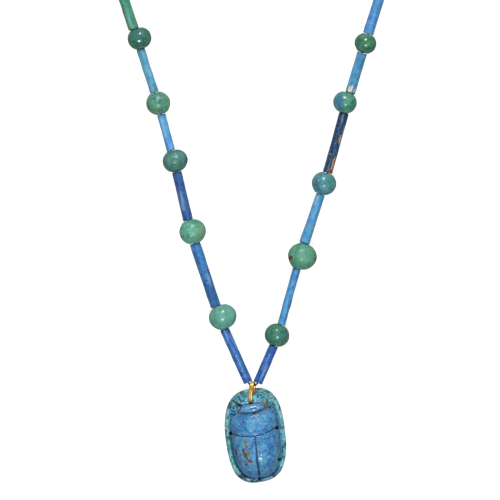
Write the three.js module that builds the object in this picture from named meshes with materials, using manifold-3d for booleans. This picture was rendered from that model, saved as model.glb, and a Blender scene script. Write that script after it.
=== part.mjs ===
// A glazed scarab amulet hung by a gold loop from a string of tube beads and round beads.
// Millimetres, +Z up.  The string lies flat: the amulet on its base, the round beads on their bellies.
// The origin is the centre of the amulet's flat underside, and +Y runs from it towards the neck.
import * as THREE from 'three';
import { mergeVertices } from 'three/addons/utils/BufferGeometryUtils.js';
import Module from 'manifold-3d';

const wasm = await Module();
wasm.setup();

// ---------------------------------------------------------------- driving dimensions

// The amulet hangs a little turned, and everything carved on it is drawn along its own axis.
const AMULET_TURN = THREE.MathUtils.degToRad(7);
const OVAL = { halfWidth: 8.1, halfLength: 12.6, power: 2.7, sides: 44 };
const PLATE = { thick: 2.6, edge: 0.35, rim: 1.15 };
const MOAT = { floor: 1.9, endRim: 0.95 };

// The beetle's back stands on a low table of the same outline, whose side carries the legs.  The back
// rises to its peak from the tail and from the front, and rounds over to each side.  The wing cases
// stay flatter and fall off late, towards the tail.
const BACK = {
  halfWidth: 6.5, halfLength: 11.4, base: 3.0, height: 10.0, sides: 36,
  peakY: -0.8, rearReach: 10.65, frontReach: 10.6, rearPower: 3.6, frontPower: 2.3, sidePower: 2.5,
  rings: [0.98, 0.92, 0.82, 0.67, 0.48, 0.26], middleY: -2.5, inset: 0.02, skirt: 0.6,
};
const TABLE = { floor: 1.2, top: 3.5, bevel: 0.5, topShare: 0.94, sides: 40 };
const THORAX = { frontY: 6.6, frontDip: 0.9, rearY: -0.55, rearRise: 1.55, roll: 1.3, edgeShare: 0.5 };
const HEAD = {
  rearY: 5.6, rearRise: 0.9, halfRear: 3.7, frontY: 8.5, frontDip: 0.25, halfFront: 2.8,
  cheekY: 7.5, cheekIn: 0.15, middleY: 7.1, gap: 0.25, sunk: 0.4,
  top: 6.0, slope: 0.42, crown: 0.05, roll: 0.55, rings: [0.86, 0.5],
};
// How far the carved bodies reach down into the table that carries them.
const ROOT = 0.3;

// Incised lines: width and depth of the cut, and where the cuts begin and end.
const LINE = { width: 0.62, depth: 0.5 };
const SUTURE = { from: -0.5, to: -11.9, steps: 10 };
const WAIST = { past: 0.1, steps: 16 };
const CREASE = { from: [-1.1, 6.95], to: [1.3, 7.3], depth: 0.35 };
const NOTCH = {
  width: 0.55, depth: 0.75, length: 1.7, perSide: 6, sunk: 0.15,
  firstBearing: 28, stepBearing: 9.6, aimY: 3.5, past: 0.45,
};

// Hollows between the head and the forelegs, drilled pits, and the chip in the rim.
const HOLLOW = { corners: [[3.9, 6.75], [4.95, 6.75], [4.15, 10.2]], low: 2.5, high: 6 };
const PIT = { radius: 0.5, depth: 1.1, above: 1, flare: 1.2, foot: 0.7, sides: 6 };
const PIT_PLACES = [[-6.45, 1.0, 4.0], [6.45, 1.0, 4.0], [6.05, -6.9, 4.0], [-0.15, -11.75, 3.0]];
const CHIP = { from: [8.2, -3.9, 3.4], to: [7.9, -3.9, 1.6], radius: 0.7, foot: 0.35, sides: 7 };

// Leaning pockets in the table's side, which leave the legs standing between them.
const LEG = {
  places: [4.6, 1.9, -1.9, -4.7, -7.4],
  pocketDepth: 0.6, pocketWidth: 1.7, pocketOut: 1, lean: 1.0, low: 2.1, high: 4.6,
};

// The gold loop is bent from a flattened wire and passes through a slanting hole before the head.  It
// is drawn in its own leaning plane, whose first axis runs from the hole towards the string and whose
// second is up, so the bend and the bore are given as [along, up].
const WIRE = { width: 1.12, thick: 0.58, flatShare: 0.7, edgeShare: 0.4, steps: 18 };
const LOOP = {
  foot: [0.65, 8.95], run: [1.14, 5.38], lean: THREE.MathUtils.degToRad(14),
  bend: [
    [1.75, 1.95], [0.75, 2.45], [0.2, 3.2], [0.55, 4.05], [1.6, 4.3], [3.3, 4.25],
    [4.8, 3.9], [5.3, 2.95], [4.8, 1.9], [3.6, 1.55], [2.0, 1.85],
  ],
};
const HOLE = {
  clearance: 0.28, steps: 12,
  bore: { from: [0.4, 2.6], to: [4.4, 1.3], radius: 0.85, sides: 10 },
  mouth: { from: [-0.25, 8.6, 4.6], to: [0, 9.3, 2.9], radius: 0.95, foot: 0.76, sides: 8 },
};

// Beads keep a small gap to their neighbours, and the thread runs free in their bores.
const BEAD_GAP = 0.3;
const BORE = { radius: 0.62, sides: 6, past: 1 };
const THREAD = { radius: 0.27, sides: 5, inLoop: [4.58, 2.85], loopHalf: 0.7 };
const KNOT = {
  radius: 0.85, stretch: [1.15, 0.9, 0.85], around: 7, rings: 5, space: 2.6, join: 0.1,
  tailRadius: 0.24, tails: [[[0.45, 1.1, 0.1], [0.9, 2.5, -0.6]], [[-0.35, 1.1, 0.1], [-0.7, 2.2, -0.6]]],
};

// Facets of a bead: those behind the neck carry fewer.
const FINE = { around: 11, rings: 8, tubeSides: 10 };
const COARSE = { around: 8, rings: 6, tubeSides: 8 };

const BLUE = '#4a86c4';
const LIGHT_BLUE = '#6aa8cf';
const DEEP_BLUE = '#1f4fa3';
const NAVY = '#27456f';
const TEAL = '#3f8f8a';
const GREEN = '#3f7f68';
const LIGHT_GREEN = '#6fae90';

// Each strand is told from the amulet outwards, as a round bead and the tube that leads to it: the
// place of the round bead's bore, its width and its length along the string, how far its middle
// stands beside the bore, and the tube's width at its two ends.
const LEFT = [
  {
    at: [-9.5, 31.7], wide: 7.5, long: 6.8, beside: 0.7, glaze: LIGHT_GREEN,
    tube: [2.45, 2.5], tubeGlaze: DEEP_BLUE,
  },
  {
    at: [-17.2, 54.9], wide: 7.1, long: 6.75, beside: 0.2, glaze: LIGHT_GREEN,
    tube: [2.8, 2.85], tubeGlaze: BLUE,
  },
  {
    at: [-22.0, 73.9], wide: 6.75, long: 6.3, beside: 0.3, glaze: GREEN,
    tube: [2.65, 2.6], tubeGlaze: NAVY,
  },
  {
    at: [-26.3, 89.5], wide: 6.45, long: 6.5, beside: 0.1, glaze: GREEN,
    tube: [2.3, 2.25], tubeGlaze: LIGHT_BLUE,
  },
  {
    at: [-31.9, 106.8], wide: 6.4, long: 6.0, beside: 0.6, glaze: GREEN,
    tube: [2.3, 2.25], tubeGlaze: LIGHT_BLUE,
  },
];
const RIGHT = [
  {
    at: [5.95, 27.0], wide: 6.7, long: 6.3, beside: -0.2, glaze: GREEN,
    tube: [2.5, 2.4], tubeGlaze: DEEP_BLUE,
  },
  {
    at: [12.2, 48.4], wide: 7.65, long: 7.4, beside: 0.35, glaze: LIGHT_GREEN,
    tube: [2.2, 2.2], tubeGlaze: LIGHT_BLUE,
  },
  {
    at: [18.55, 67.9], wide: 6.5, long: 6.4, beside: -0.1, glaze: TEAL,
    tube: [2.6, 2.15], tubeGlaze: LIGHT_BLUE,
  },
  {
    at: [24.7, 89.6], wide: 6.3, long: 5.95, beside: -0.6, glaze: TEAL,
    tube: [2.6, 2.6], tubeGlaze: NAVY,
  },
  {
    at: [29.6, 105.7], wide: 5.9, long: 5.7, beside: 0.0, glaze: GREEN,
    tube: [2.7, 2.7], tubeGlaze: BLUE,
  },
];

// Where the first tube of each strand ends beside the gold loop, and the height of the string there.
const LEFT_START = [-1.95, 14.3];
const RIGHT_START = [0.65, 14.15];
const START_HEIGHT = 2.75;

// Behind the neck the string runs round an arc, with smaller beads at even steps.
const NECK = { x: -1.2, y: 149, radius: 42.2, steps: 11, roundness: 0.97 };
const NECK_BEADS = [
  { wide: 6.2, tube: 2.85, glaze: LIGHT_GREEN, tubeGlaze: TEAL },
  { wide: 6.0, tube: 2.6, glaze: GREEN, tubeGlaze: BLUE },
  { wide: 5.9, tube: 2.5, glaze: TEAL, tubeGlaze: LIGHT_BLUE },
  { wide: 5.7, tube: 2.7, glaze: LIGHT_GREEN, tubeGlaze: NAVY },
  { wide: 5.6, tube: 2.5, glaze: GREEN, tubeGlaze: BLUE },
];
const DOWN = new THREE.Vector3(0, 0, -1);

// ---------------------------------------------------------------- solids

function toSolid(geometry) {
  const bare = geometry.index ? geometry : geometry.clone();
  bare.deleteAttribute('normal');
  bare.deleteAttribute('uv');
  const merged = mergeVertices(bare, 1e-4);
  return new wasm.Manifold(new wasm.Mesh({
    numProp: 3,
    vertProperties: new Float32Array(merged.attributes.position.array),
    triVerts: new Uint32Array(merged.index.array),
  }));
}

function toGeometry(solid) {
  const mesh = solid.getMesh();
  const geometry = new THREE.BufferGeometry();
  geometry.setAttribute('position', new THREE.BufferAttribute(mesh.vertProperties, 3));
  geometry.setIndex(new THREE.BufferAttribute(mesh.triVerts, 1));
  geometry.computeVertexNormals();
  return geometry;
}

function cut(solid, cutters) {
  return cutters.reduce((rest, cutter) => rest.subtract(cutter), solid);
}

// A point of an oval with squarish shoulders.
function ovalPoint(halfWidth, halfLength, angle) {
  const soft = (value) => Math.sign(value) * Math.abs(value) ** (2 / OVAL.power);
  return new THREE.Vector2(halfWidth * soft(Math.cos(angle)), halfLength * soft(Math.sin(angle)));
}

// A turned solid whose rings are then drawn out to a plan outline: outline(angle) gives the plan
// point of radius 1, and height(level, point, radius) the height.  profile is a list of
// [radius, level], from the bottom on the axis to the top on the axis.
function relief(profile, spokes, centre, outline, height) {
  const points = profile.map(([radius, level]) => new THREE.Vector2(radius, level));
  const geometry = new THREE.LatheGeometry(points, spokes);
  const position = geometry.attributes.position;
  for (let i = 0; i < position.count; i += 1) {
    const level = position.getY(i);
    const radius = Math.hypot(position.getX(i), position.getZ(i));
    const angle = Math.atan2(position.getX(i), position.getZ(i));
    const point = outline(angle).sub(centre).multiplyScalar(radius).add(centre);
    position.setXYZ(i, point.x, point.y, height(level, point, radius));
  }
  return toSolid(geometry);
}

function prism(points, low, high) {
  const shape = new THREE.Shape(points);
  const geometry = new THREE.ExtrudeGeometry(shape, { depth: high - low, bevelEnabled: false });
  return toSolid(geometry.translate(0, 0, low));
}

// A V-shaped blade along a plan line, sunk to its depth below the surface that it follows and
// standing out of it by a lift.
function blade(line, width, depth, surface) {
  const lift = 0.8;
  const half = (width / 2) * (1 + lift / depth);
  const profile = new THREE.Shape([
    new THREE.Vector2(-half, lift),
    new THREE.Vector2(0, -depth),
    new THREE.Vector2(half, lift),
  ]);
  const steps = line.length - 1;
  const geometry = new THREE.ExtrudeGeometry(profile, { depth: 1, steps, bevelEnabled: false });
  const position = geometry.attributes.position;
  for (let i = 0; i < position.count; i += 1) {
    const station = Math.round(position.getZ(i) * steps);
    const here = line[station];
    const ahead = line[Math.min(station + 1, steps)];
    const behind = line[Math.max(station - 1, 0)];
    const along = ahead.clone().sub(behind).normalize();
    const across = new THREE.Vector2(-along.y, along.x).multiplyScalar(position.getX(i));
    const z = surface(here.x, here.y) + position.getY(i);
    position.setXYZ(i, here.x + across.x, here.y + across.y, z);
  }
  return toSolid(geometry);
}

// A round cutter from one point to another, which may taper to a narrower foot.
function drill({ from, to, radius, foot = radius, sides }) {
  const start = new THREE.Vector3(...from);
  const end = new THREE.Vector3(...to);
  const along = end.clone().sub(start);
  const geometry = new THREE.CylinderGeometry(foot, radius, along.length(), sides);
  geometry.applyQuaternion(new THREE.Quaternion().setFromUnitVectors(
    new THREE.Vector3(0, 1, 0), along.clone().normalize()));
  geometry.translate(...start.add(end).multiplyScalar(0.5).toArray());
  return toSolid(geometry);
}

// Points along a line, from point(0) to point(1).
function sampleLine(count, point) {
  return Array.from({ length: count + 1 }, (_, i) => point(i / count));
}

// Points once round, without the last one that would close the ring.
function sampleRing(count, point) {
  return Array.from({ length: count }, (_, i) => point((i / count) * 2 * Math.PI));
}

// ---------------------------------------------------------------- the amulet

const thoraxFront = (x) => THORAX.frontY - THORAX.frontDip * (Math.abs(x) / BACK.halfWidth) ** 4;
const thoraxRear = (x) => THORAX.rearY + THORAX.rearRise * (x / BACK.halfWidth) ** 2;

// The height of the beetle's back over its plan: a crown line along the middle, rounded to each side.
function backHeight(x, y) {
  const [reach, power] = y < BACK.peakY
    ? [BACK.rearReach, BACK.rearPower] : [BACK.frontReach, BACK.frontPower];
  const along = Math.min(1, Math.abs(y - BACK.peakY) / reach);
  const crown = (BACK.height - BACK.base) * Math.sqrt(1 - along ** power);
  const narrow = Math.max(0, 1 - (Math.abs(y) / BACK.halfLength) ** OVAL.power);
  const side = BACK.halfWidth * narrow ** (1 / OVAL.power);
  const out = side > 0 ? Math.min(1, Math.abs(x) / side) : 1;
  return BACK.base + crown * Math.sqrt(1 - out ** BACK.sidePower);
}

// The head's plan: a hollow rear edge against the thorax, two cheeks and a flatter front.
function headOutline(grow) {
  const rear = sampleLine(8, (t) => {
    const x = (2 * t - 1) * HEAD.halfRear;
    return new THREE.Vector2(x, HEAD.rearY + HEAD.rearRise * (x / HEAD.halfRear) ** 2);
  });
  const front = sampleLine(4, (t) => {
    const x = (1 - 2 * t) * HEAD.halfFront;
    return new THREE.Vector2(x, HEAD.frontY - HEAD.frontDip * (x / HEAD.halfFront) ** 2);
  });
  const cheek = (side) => new THREE.Vector2(side * (HEAD.halfRear - HEAD.cheekIn), HEAD.cheekY);
  const middle = new THREE.Vector2(0, HEAD.middleY);
  return [...rear, cheek(1), ...front, cheek(-1)].map((corner) => {
    const outward = corner.clone().sub(middle).normalize();
    return corner.addScaledVector(outward, grow);
  });
}

const headHeight = (x, y) => HEAD.top - HEAD.slope * (y - HEAD.rearY) - HEAD.crown * x * x;

// The base plate with eased edges, and a moat sunk inside its rim.
function makePlate() {
  const { edge, thick, rim } = PLATE;
  const outline = sampleRing(OVAL.sides, (angle) => ovalPoint(OVAL.halfWidth, OVAL.halfLength, angle));
  const geometry = new THREE.ExtrudeGeometry(new THREE.Shape(outline), {
    depth: thick - 2 * edge, bevelThickness: edge, bevelSize: edge, bevelOffset: -edge, bevelSegments: 1,
  });
  const moatLine = sampleRing(OVAL.sides, (angle) => (
    ovalPoint(OVAL.halfWidth - rim, OVAL.halfLength - MOAT.endRim, angle)));
  return toSolid(geometry.translate(0, 0, edge)).subtract(prism(moatLine, MOAT.floor, thick + 1));
}

// The low table under the back, which runs on before the head as the field of the forelegs.
function makeTable() {
  const { floor, top, bevel, topShare } = TABLE;
  const profile = [[0, floor], [1, floor], [1, top - bevel], [topShare, top], [0, top]];
  const outline = (angle) => ovalPoint(BACK.halfWidth, BACK.halfLength, angle);
  return relief(profile, TABLE.sides, new THREE.Vector2(0, 0), outline, (level) => level);
}

// Wing cases and thorax: one dome, stopped at the thorax's front line by a rounded edge.
function makeBack() {
  const centre = new THREE.Vector2(0, BACK.middleY);
  const step = 0.995;
  const outline = (angle) => {
    const point = ovalPoint(BACK.halfWidth - BACK.inset, BACK.halfLength - BACK.inset, angle);
    while (point.y > thoraxFront(point.x)) {
      point.sub(centre).multiplyScalar(step).add(centre);
    }
    return point;
  };
  const height = (level, point, radius) => {
    if (level === 0) {
      return TABLE.floor + ROOT;
    }
    const inside = THREE.MathUtils.clamp((thoraxFront(point.x) - point.y) / THORAX.roll, 0, 1);
    const roll = Math.sqrt(1 - (1 - inside) ** 2);
    const top = backHeight(point.x, point.y);
    const low = Math.min(top, TABLE.top + BACK.skirt);
    const share = radius > BACK.rings[0] + 0.01 ? THORAX.edgeShare : 1;
    return low + (top - low) * roll * share;
  };
  const profile = [[0, 0], [1, 0], [1, 1], ...BACK.rings.map((radius) => [radius, 1]), [0, 1]];
  return relief(profile, BACK.sides, centre, outline, height);
}

function makeHead() {
  const points = headOutline(0);
  const count = points.length;
  const outline = (angle) => {
    const turn = THREE.MathUtils.euclideanModulo(angle / (2 * Math.PI), 1);
    return points[Math.round(turn * count) % count].clone();
  };
  const height = (level, point, radius) => {
    if (level === 0) {
      return TABLE.floor + ROOT;
    }
    return headHeight(point.x, point.y) - HEAD.roll * radius ** 6;
  };
  const profile = [[0, 0], [1, 0], [1, 1], ...HEAD.rings.map((radius) => [radius, 1]), [0, 1]];
  return relief(profile, count, new THREE.Vector2(0, HEAD.middleY), outline, height);
}

// The seam between the wing cases, the line behind the thorax and the crease across the head.
function makeLines() {
  const suture = sampleLine(SUTURE.steps, (t) => (
    new THREE.Vector2(0, THREE.MathUtils.lerp(SUTURE.from, SUTURE.to, t))));
  const waist = sampleLine(WAIST.steps, (t) => {
    const x = (2 * t - 1) * (BACK.halfWidth + WAIST.past);
    return new THREE.Vector2(x, thoraxRear(x));
  });
  const creaseFrom = new THREE.Vector2(...CREASE.from);
  const creaseTo = new THREE.Vector2(...CREASE.to);
  const crease = sampleLine(2, (t) => creaseFrom.clone().lerp(creaseTo, t));
  return [
    blade(suture, LINE.width, LINE.depth, backHeight),
    blade(waist, LINE.width, LINE.depth, backHeight),
    blade(crease, LINE.width, CREASE.depth, headHeight),
  ];
}

// Short strokes across the edge of the foreleg field, on both sides of the loop.
function makeNotches() {
  const notches = [];
  const surface = () => TABLE.top - NOTCH.sunk;
  const aim = new THREE.Vector2(0, NOTCH.aimY);
  for (let i = 0; i < NOTCH.perSide; i += 1) {
    const bearing = THREE.MathUtils.degToRad(NOTCH.firstBearing + NOTCH.stepBearing * i);
    for (const side of [-1, 1]) {
      const angle = Math.PI / 2 + side * (Math.PI / 2 - bearing);
      const edge = ovalPoint(BACK.halfWidth, BACK.halfLength, angle);
      const outward = edge.clone().sub(aim).normalize();
      const start = edge.clone().addScaledVector(outward, NOTCH.past);
      const end = edge.clone().addScaledVector(outward, NOTCH.past - NOTCH.length);
      notches.push(blade([start, end], NOTCH.width, NOTCH.depth, surface));
    }
  }
  return notches;
}

// Hollows between the head and the forelegs, the small drilled pits, and the chip in the rim.
function makePits() {
  const hollows = [1, -1].map((side) => {
    const corners = HOLLOW.corners.map(([x, y]) => new THREE.Vector2(side * x, y));
    return prism(corners, HOLLOW.low, HOLLOW.high);
  });
  const pits = PIT_PLACES.map(([x, y, z]) => drill({
    from: [x, y, z + PIT.above],
    to: [x, y, z - PIT.depth],
    radius: PIT.radius * PIT.flare,
    foot: PIT.radius * PIT.foot,
    sides: PIT.sides,
  }));
  return [...hollows, ...pits, drill(CHIP)];
}

function makeLegPockets() {
  const half = LEG.pocketWidth / 2;
  const shape = new THREE.Shape([
    new THREE.Vector2(-half - LEG.lean, LEG.low),
    new THREE.Vector2(half - LEG.lean, LEG.low),
    new THREE.Vector2(half, LEG.high),
    new THREE.Vector2(-half, LEG.high),
  ]);
  const depth = LEG.pocketDepth + LEG.pocketOut;
  const nudge = 0.02;
  const pockets = [];
  for (const side of [-1, 1]) {
    for (const y of LEG.places) {
      const bearing = Math.sign(y) * Math.asin(Math.abs(y / BACK.halfLength) ** (OVAL.power / 2));
      const at = ovalPoint(side * BACK.halfWidth, BACK.halfLength, bearing);
      const near = ovalPoint(side * BACK.halfWidth, BACK.halfLength, bearing + nudge);
      const along = near.sub(at).normalize();
      const right = new THREE.Vector3(along.y, -along.x, 0);
      const geometry = new THREE.ExtrudeGeometry(shape, { depth, bevelEnabled: false });
      const basis = new THREE.Matrix4().makeBasis(
        new THREE.Vector3(along.x, along.y, 0), new THREE.Vector3(0, 0, 1), right);
      const start = right.multiplyScalar(side > 0 ? -LEG.pocketDepth : -LEG.pocketOut);
      basis.setPosition(at.x + start.x, at.y + start.y, 0);
      pockets.push(toSolid(geometry.applyMatrix4(basis)));
    }
  }
  return pockets;
}

// ---------------------------------------------------------------- the gold loop

// From the loop's own plane to the amulet's axes.
function loopPlace() {
  const run = new THREE.Vector3(...LOOP.run, 0).normalize();
  const up = new THREE.Vector3(0, 0, 1).applyAxisAngle(run, -LOOP.lean);
  const matrix = new THREE.Matrix4().makeBasis(run, up, run.clone().cross(up));
  return matrix.setPosition(LOOP.foot[0], LOOP.foot[1], 0);
}

// The flattened wire swept along its bend.  Its ends meet inside the hole.
function bendWire(grow, steps) {
  const path = new THREE.CatmullRomCurve3(
    LOOP.bend.map(([along, up]) => new THREE.Vector3(along, up, 0)));
  const half = WIRE.width / 2 + grow;
  const flat = WIRE.thick / 2 + grow;
  const flatHalf = half * WIRE.flatShare;
  const edge = flat * WIRE.edgeShare;
  const section = new THREE.Shape([
    [-half, -edge], [-flatHalf, -flat], [flatHalf, -flat], [half, -edge],
    [half, edge], [flatHalf, flat], [-flatHalf, flat], [-half, edge],
  ].map(([x, y]) => new THREE.Vector2(x, y)));
  return new THREE.ExtrudeGeometry(section, { steps, extrudePath: path });
}

// The hole: room for the wire along its bend, a bore that joins it, and an opened mouth.
function makeHole() {
  const within = ([along, up]) => (
    new THREE.Vector3(along, up, 0).applyMatrix4(loopPlace()).toArray());
  const { bore, mouth } = HOLE;
  return [
    toSolid(bendWire(HOLE.clearance, HOLE.steps).applyMatrix4(loopPlace())),
    drill({ ...bore, from: within(bore.from), to: within(bore.to) }),
    drill(mouth),
  ];
}

function makeAmulet() {
  const clearance = prism(headOutline(HEAD.gap), TABLE.top - HEAD.sunk, BACK.height + 1);
  const body = makeTable().add(makeBack()).subtract(clearance).add(makeHead());
  const carved = cut(body, [...makeLines(), ...makeNotches(), ...makeLegPockets()]);
  return toGeometry(cut(makePlate().add(carved), [...makePits(), ...makeHole()]));
}

// ---------------------------------------------------------------- the string

// A line through given points that an extrusion follows corner by corner.
class Route extends THREE.Curve {
  constructor(points) {
    super();
    this.points = points;
  }

  getPoint(t, target = new THREE.Vector3()) {
    const place = THREE.MathUtils.clamp(t, 0, 1) * (this.points.length - 1);
    const index = Math.min(Math.floor(place), this.points.length - 2);
    return target.copy(this.points[index]).lerp(this.points[index + 1], place - index);
  }

  getUtoTmapping(u) {
    return u;
  }
}

function tubeAlong(points, radius) {
  const section = new THREE.Shape(sampleRing(THREAD.sides, (angle) => (
    new THREE.Vector2(radius * Math.cos(angle), radius * Math.sin(angle)))));
  const steps = points.length - 1;
  return toSolid(new THREE.ExtrudeGeometry(section, { steps, extrudePath: new Route(points) }));
}

// The plan of the unseen string between the last two round beads of the lists, from left to right:
// straight to the arc, round the neck, and straight back.
function neckPoint(share) {
  const centre = new THREE.Vector2(NECK.x, NECK.y);
  const first = new THREE.Vector2(...LEFT[LEFT.length - 1].at);
  const last = new THREE.Vector2(...RIGHT[RIGHT.length - 1].at);
  const tangent = (point, side) => {
    const away = point.clone().sub(centre);
    return Math.atan2(away.y, away.x) - side * Math.acos(NECK.radius / away.length());
  };
  const startBearing = tangent(first, 1) + 2 * Math.PI;
  const endBearing = tangent(last, -1);
  const onArc = (bearing) => centre.clone().add(
    new THREE.Vector2(Math.cos(bearing), Math.sin(bearing)).multiplyScalar(NECK.radius));
  const runIn = onArc(startBearing).distanceTo(first);
  const runOut = onArc(endBearing).distanceTo(last);
  const arc = (startBearing - endBearing) * NECK.radius;
  const travelled = share * (runIn + arc + runOut);
  if (travelled < runIn) {
    return first.lerp(onArc(startBearing), travelled / runIn);
  }
  if (travelled > runIn + arc) {
    return onArc(endBearing).lerp(last, (travelled - runIn - arc) / runOut);
  }
  return onArc(startBearing - (travelled - runIn) / NECK.radius);
}

// The unseen round beads of one strand, at even steps from its last listed bead.
function neckBeads(fromLeft) {
  return NECK_BEADS.map((bead, i) => {
    const step = (i + 1) / NECK.steps;
    const at = neckPoint(fromLeft ? step : 1 - step).toArray();
    return {
      at,
      wide: bead.wide,
      long: bead.wide * NECK.roundness,
      beside: 0,
      detail: COARSE,
      tube: [bead.tube, bead.tube],
      glaze: bead.glaze,
      tubeGlaze: bead.tubeGlaze,
    };
  });
}

function glazed(color) {
  return new THREE.MeshStandardMaterial({ color, roughness: 0.35, metalness: 0 });
}

// A mesh whose own Y axis runs along a line, and whose Z axis is as near down as that allows.
function place(geometry, at, along) {
  const y = along.clone().normalize();
  const z = DOWN.clone().addScaledVector(y, -DOWN.dot(y)).normalize();
  const basis = new THREE.Matrix4().makeBasis(y.clone().cross(z), y, z);
  const mesh = new THREE.Mesh(geometry);
  mesh.quaternion.setFromRotationMatrix(basis);
  mesh.position.copy(at);
  return mesh;
}

// A round bead: a squashed ball with its bore beside the middle by a given amount.
function makeBall({ wide, long, beside, detail = FINE }) {
  const ball = new THREE.SphereGeometry(wide / 2, detail.around, detail.rings);
  ball.scale(1, long / wide, 1);
  const bore = new THREE.CylinderGeometry(BORE.radius, BORE.radius, long + 2 * BORE.past, BORE.sides);
  bore.translate(-beside, 0, 0);
  return toGeometry(toSolid(ball).subtract(toSolid(bore)));
}

// A tube bead: a long wall turned round its bore, which may taper.
function makeTube(length, radii, sides) {
  const half = length / 2;
  const [first, last] = radii;
  return new THREE.LatheGeometry([
    new THREE.Vector2(BORE.radius, -half),
    new THREE.Vector2(first, -half),
    new THREE.Vector2(last, half),
    new THREE.Vector2(BORE.radius, half),
    new THREE.Vector2(BORE.radius, -half),
  ], sides);
}

function lay(plan, height) {
  return new THREE.Vector3(plan[0], plan[1], height);
}

// The tube between two points of the string.
function makeTubeMesh(name, from, to, { tube, tubeGlaze, detail = FINE }) {
  const along = to.clone().sub(from);
  const radii = tube.map((wide) => wide / 2);
  const geometry = makeTube(along.length() - BEAD_GAP, radii, detail.tubeSides);
  const mesh = place(geometry, from.clone().lerp(to, 0.5), along);
  mesh.material = glazed(tubeGlaze);
  mesh.name = name;
  return mesh;
}

// Lays one strand and gives back its meshes, and the points where the thread turns.
function makeStrand(side, beads, start, knotPoint) {
  const meshes = [];
  const turns = [lay(start, START_HEIGHT)];
  const label = (kind, index) => `${side}_${kind}_${String(index + 1).padStart(2, '0')}`;
  beads.forEach((bead, i) => {
    const here = lay(bead.at, bead.wide / 2);
    const behind = i === 0 ? turns[0] : lay(beads[i - 1].at, 0);
    const ahead = i === beads.length - 1 ? knotPoint : lay(beads[i + 1].at, 0);
    const into = here.clone().sub(behind).setZ(0).normalize();
    const outOf = ahead.clone().sub(here).setZ(0).normalize();
    const along = into.add(outOf).normalize();
    const reach = (bead.long + BEAD_GAP) / 2;
    const entry = here.clone().addScaledVector(along, -reach);
    const exit = here.clone().addScaledVector(along, reach);
    meshes.push(makeTubeMesh(label('tube', i), turns[turns.length - 1], entry, bead));
    const aside = along.clone().cross(DOWN).normalize();
    const beside = Math.sign(aside.x) * bead.beside;
    const ball = place(makeBall({ ...bead, beside }), here.clone().addScaledVector(aside, beside), along);
    ball.material = glazed(bead.glaze);
    ball.name = label('ball', i);
    meshes.push(ball);
    turns.push(entry, exit);
  });
  const last = turns[turns.length - 1];
  const stop = knotPoint.clone().lerp(last, KNOT.space / 2 / knotPoint.distanceTo(last));
  const lastBead = { ...beads[beads.length - 1], tubeGlaze: TEAL };
  meshes.push(makeTubeMesh(label('tube', beads.length), last, stop, lastBead));
  turns.push(stop);
  return { meshes, turns };
}

// The thread runs from the knot down one strand, through the loop, and up the other.
function makeThread(left, right, knotPoint) {
  const inLoop = (side) => new THREE.Vector3(...THREAD.inLoop, side * THREAD.loopHalf)
    .applyMatrix4(loopPlace())
    .applyAxisAngle(new THREE.Vector3(0, 0, 1), AMULET_TURN);
  const nearKnot = (side) => knotPoint.clone().add(new THREE.Vector3(side * KNOT.join, 0, 0));
  const down = [nearKnot(-1), ...left.toReversed(), inLoop(-1), inLoop(1)];
  const up = [inLoop(1), ...right, nearKnot(1)];
  const ball = new THREE.SphereGeometry(KNOT.radius, KNOT.around, KNOT.rings).scale(...KNOT.stretch);
  const knot = toSolid(ball.translate(...knotPoint.toArray()));
  const tails = KNOT.tails.map((points) => {
    const route = points.map((point) => knotPoint.clone().add(new THREE.Vector3(...point)));
    return tubeAlong([knotPoint, ...route], KNOT.tailRadius);
  });
  const strands = [down, up].map((points) => tubeAlong(points, THREAD.radius));
  return toGeometry([...strands, ...tails].reduce((whole, strand) => whole.add(strand), knot));
}

// ---------------------------------------------------------------- the whole string

const part = new THREE.Group();

const amuletGroup = new THREE.Group();
amuletGroup.rotation.z = AMULET_TURN;
part.add(amuletGroup);

const amulet = new THREE.Mesh(makeAmulet(), glazed(BLUE));
amulet.name = 'scarab_amulet';
amuletGroup.add(amulet);

const gold = new THREE.MeshStandardMaterial({ color: '#e0a24a', roughness: 0.3, metalness: 1 });
const loop = new THREE.Mesh(bendWire(0, WIRE.steps), gold);
loop.name = 'gold_loop';
loop.applyMatrix4(loopPlace());
amuletGroup.add(loop);

const leftBeads = [...LEFT, ...neckBeads(true)];
const rightBeads = [...RIGHT, ...neckBeads(false)];
const knotPoint = lay(neckPoint(0.5).toArray(), NECK_BEADS[NECK_BEADS.length - 1].wide / 2);
const leftStrand = makeStrand('left', leftBeads, LEFT_START, knotPoint);
const rightStrand = makeStrand('right', rightBeads, RIGHT_START, knotPoint);
part.add(...leftStrand.meshes, ...rightStrand.meshes);

const linen = new THREE.MeshStandardMaterial({ color: '#6b4a2f', roughness: 0.9, metalness: 0 });
const thread = new THREE.Mesh(makeThread(leftStrand.turns, rightStrand.turns, knotPoint), linen);
thread.name = 'necklace_thread';
part.add(thread);

export default part;
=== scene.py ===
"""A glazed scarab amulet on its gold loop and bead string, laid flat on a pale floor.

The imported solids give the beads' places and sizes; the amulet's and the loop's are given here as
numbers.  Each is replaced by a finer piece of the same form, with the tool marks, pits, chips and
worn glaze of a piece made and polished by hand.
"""

import logging
import math
from dataclasses import dataclass, field
from enum import Enum

import bpy
import numpy as np
from mathutils import Matrix, Vector


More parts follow.
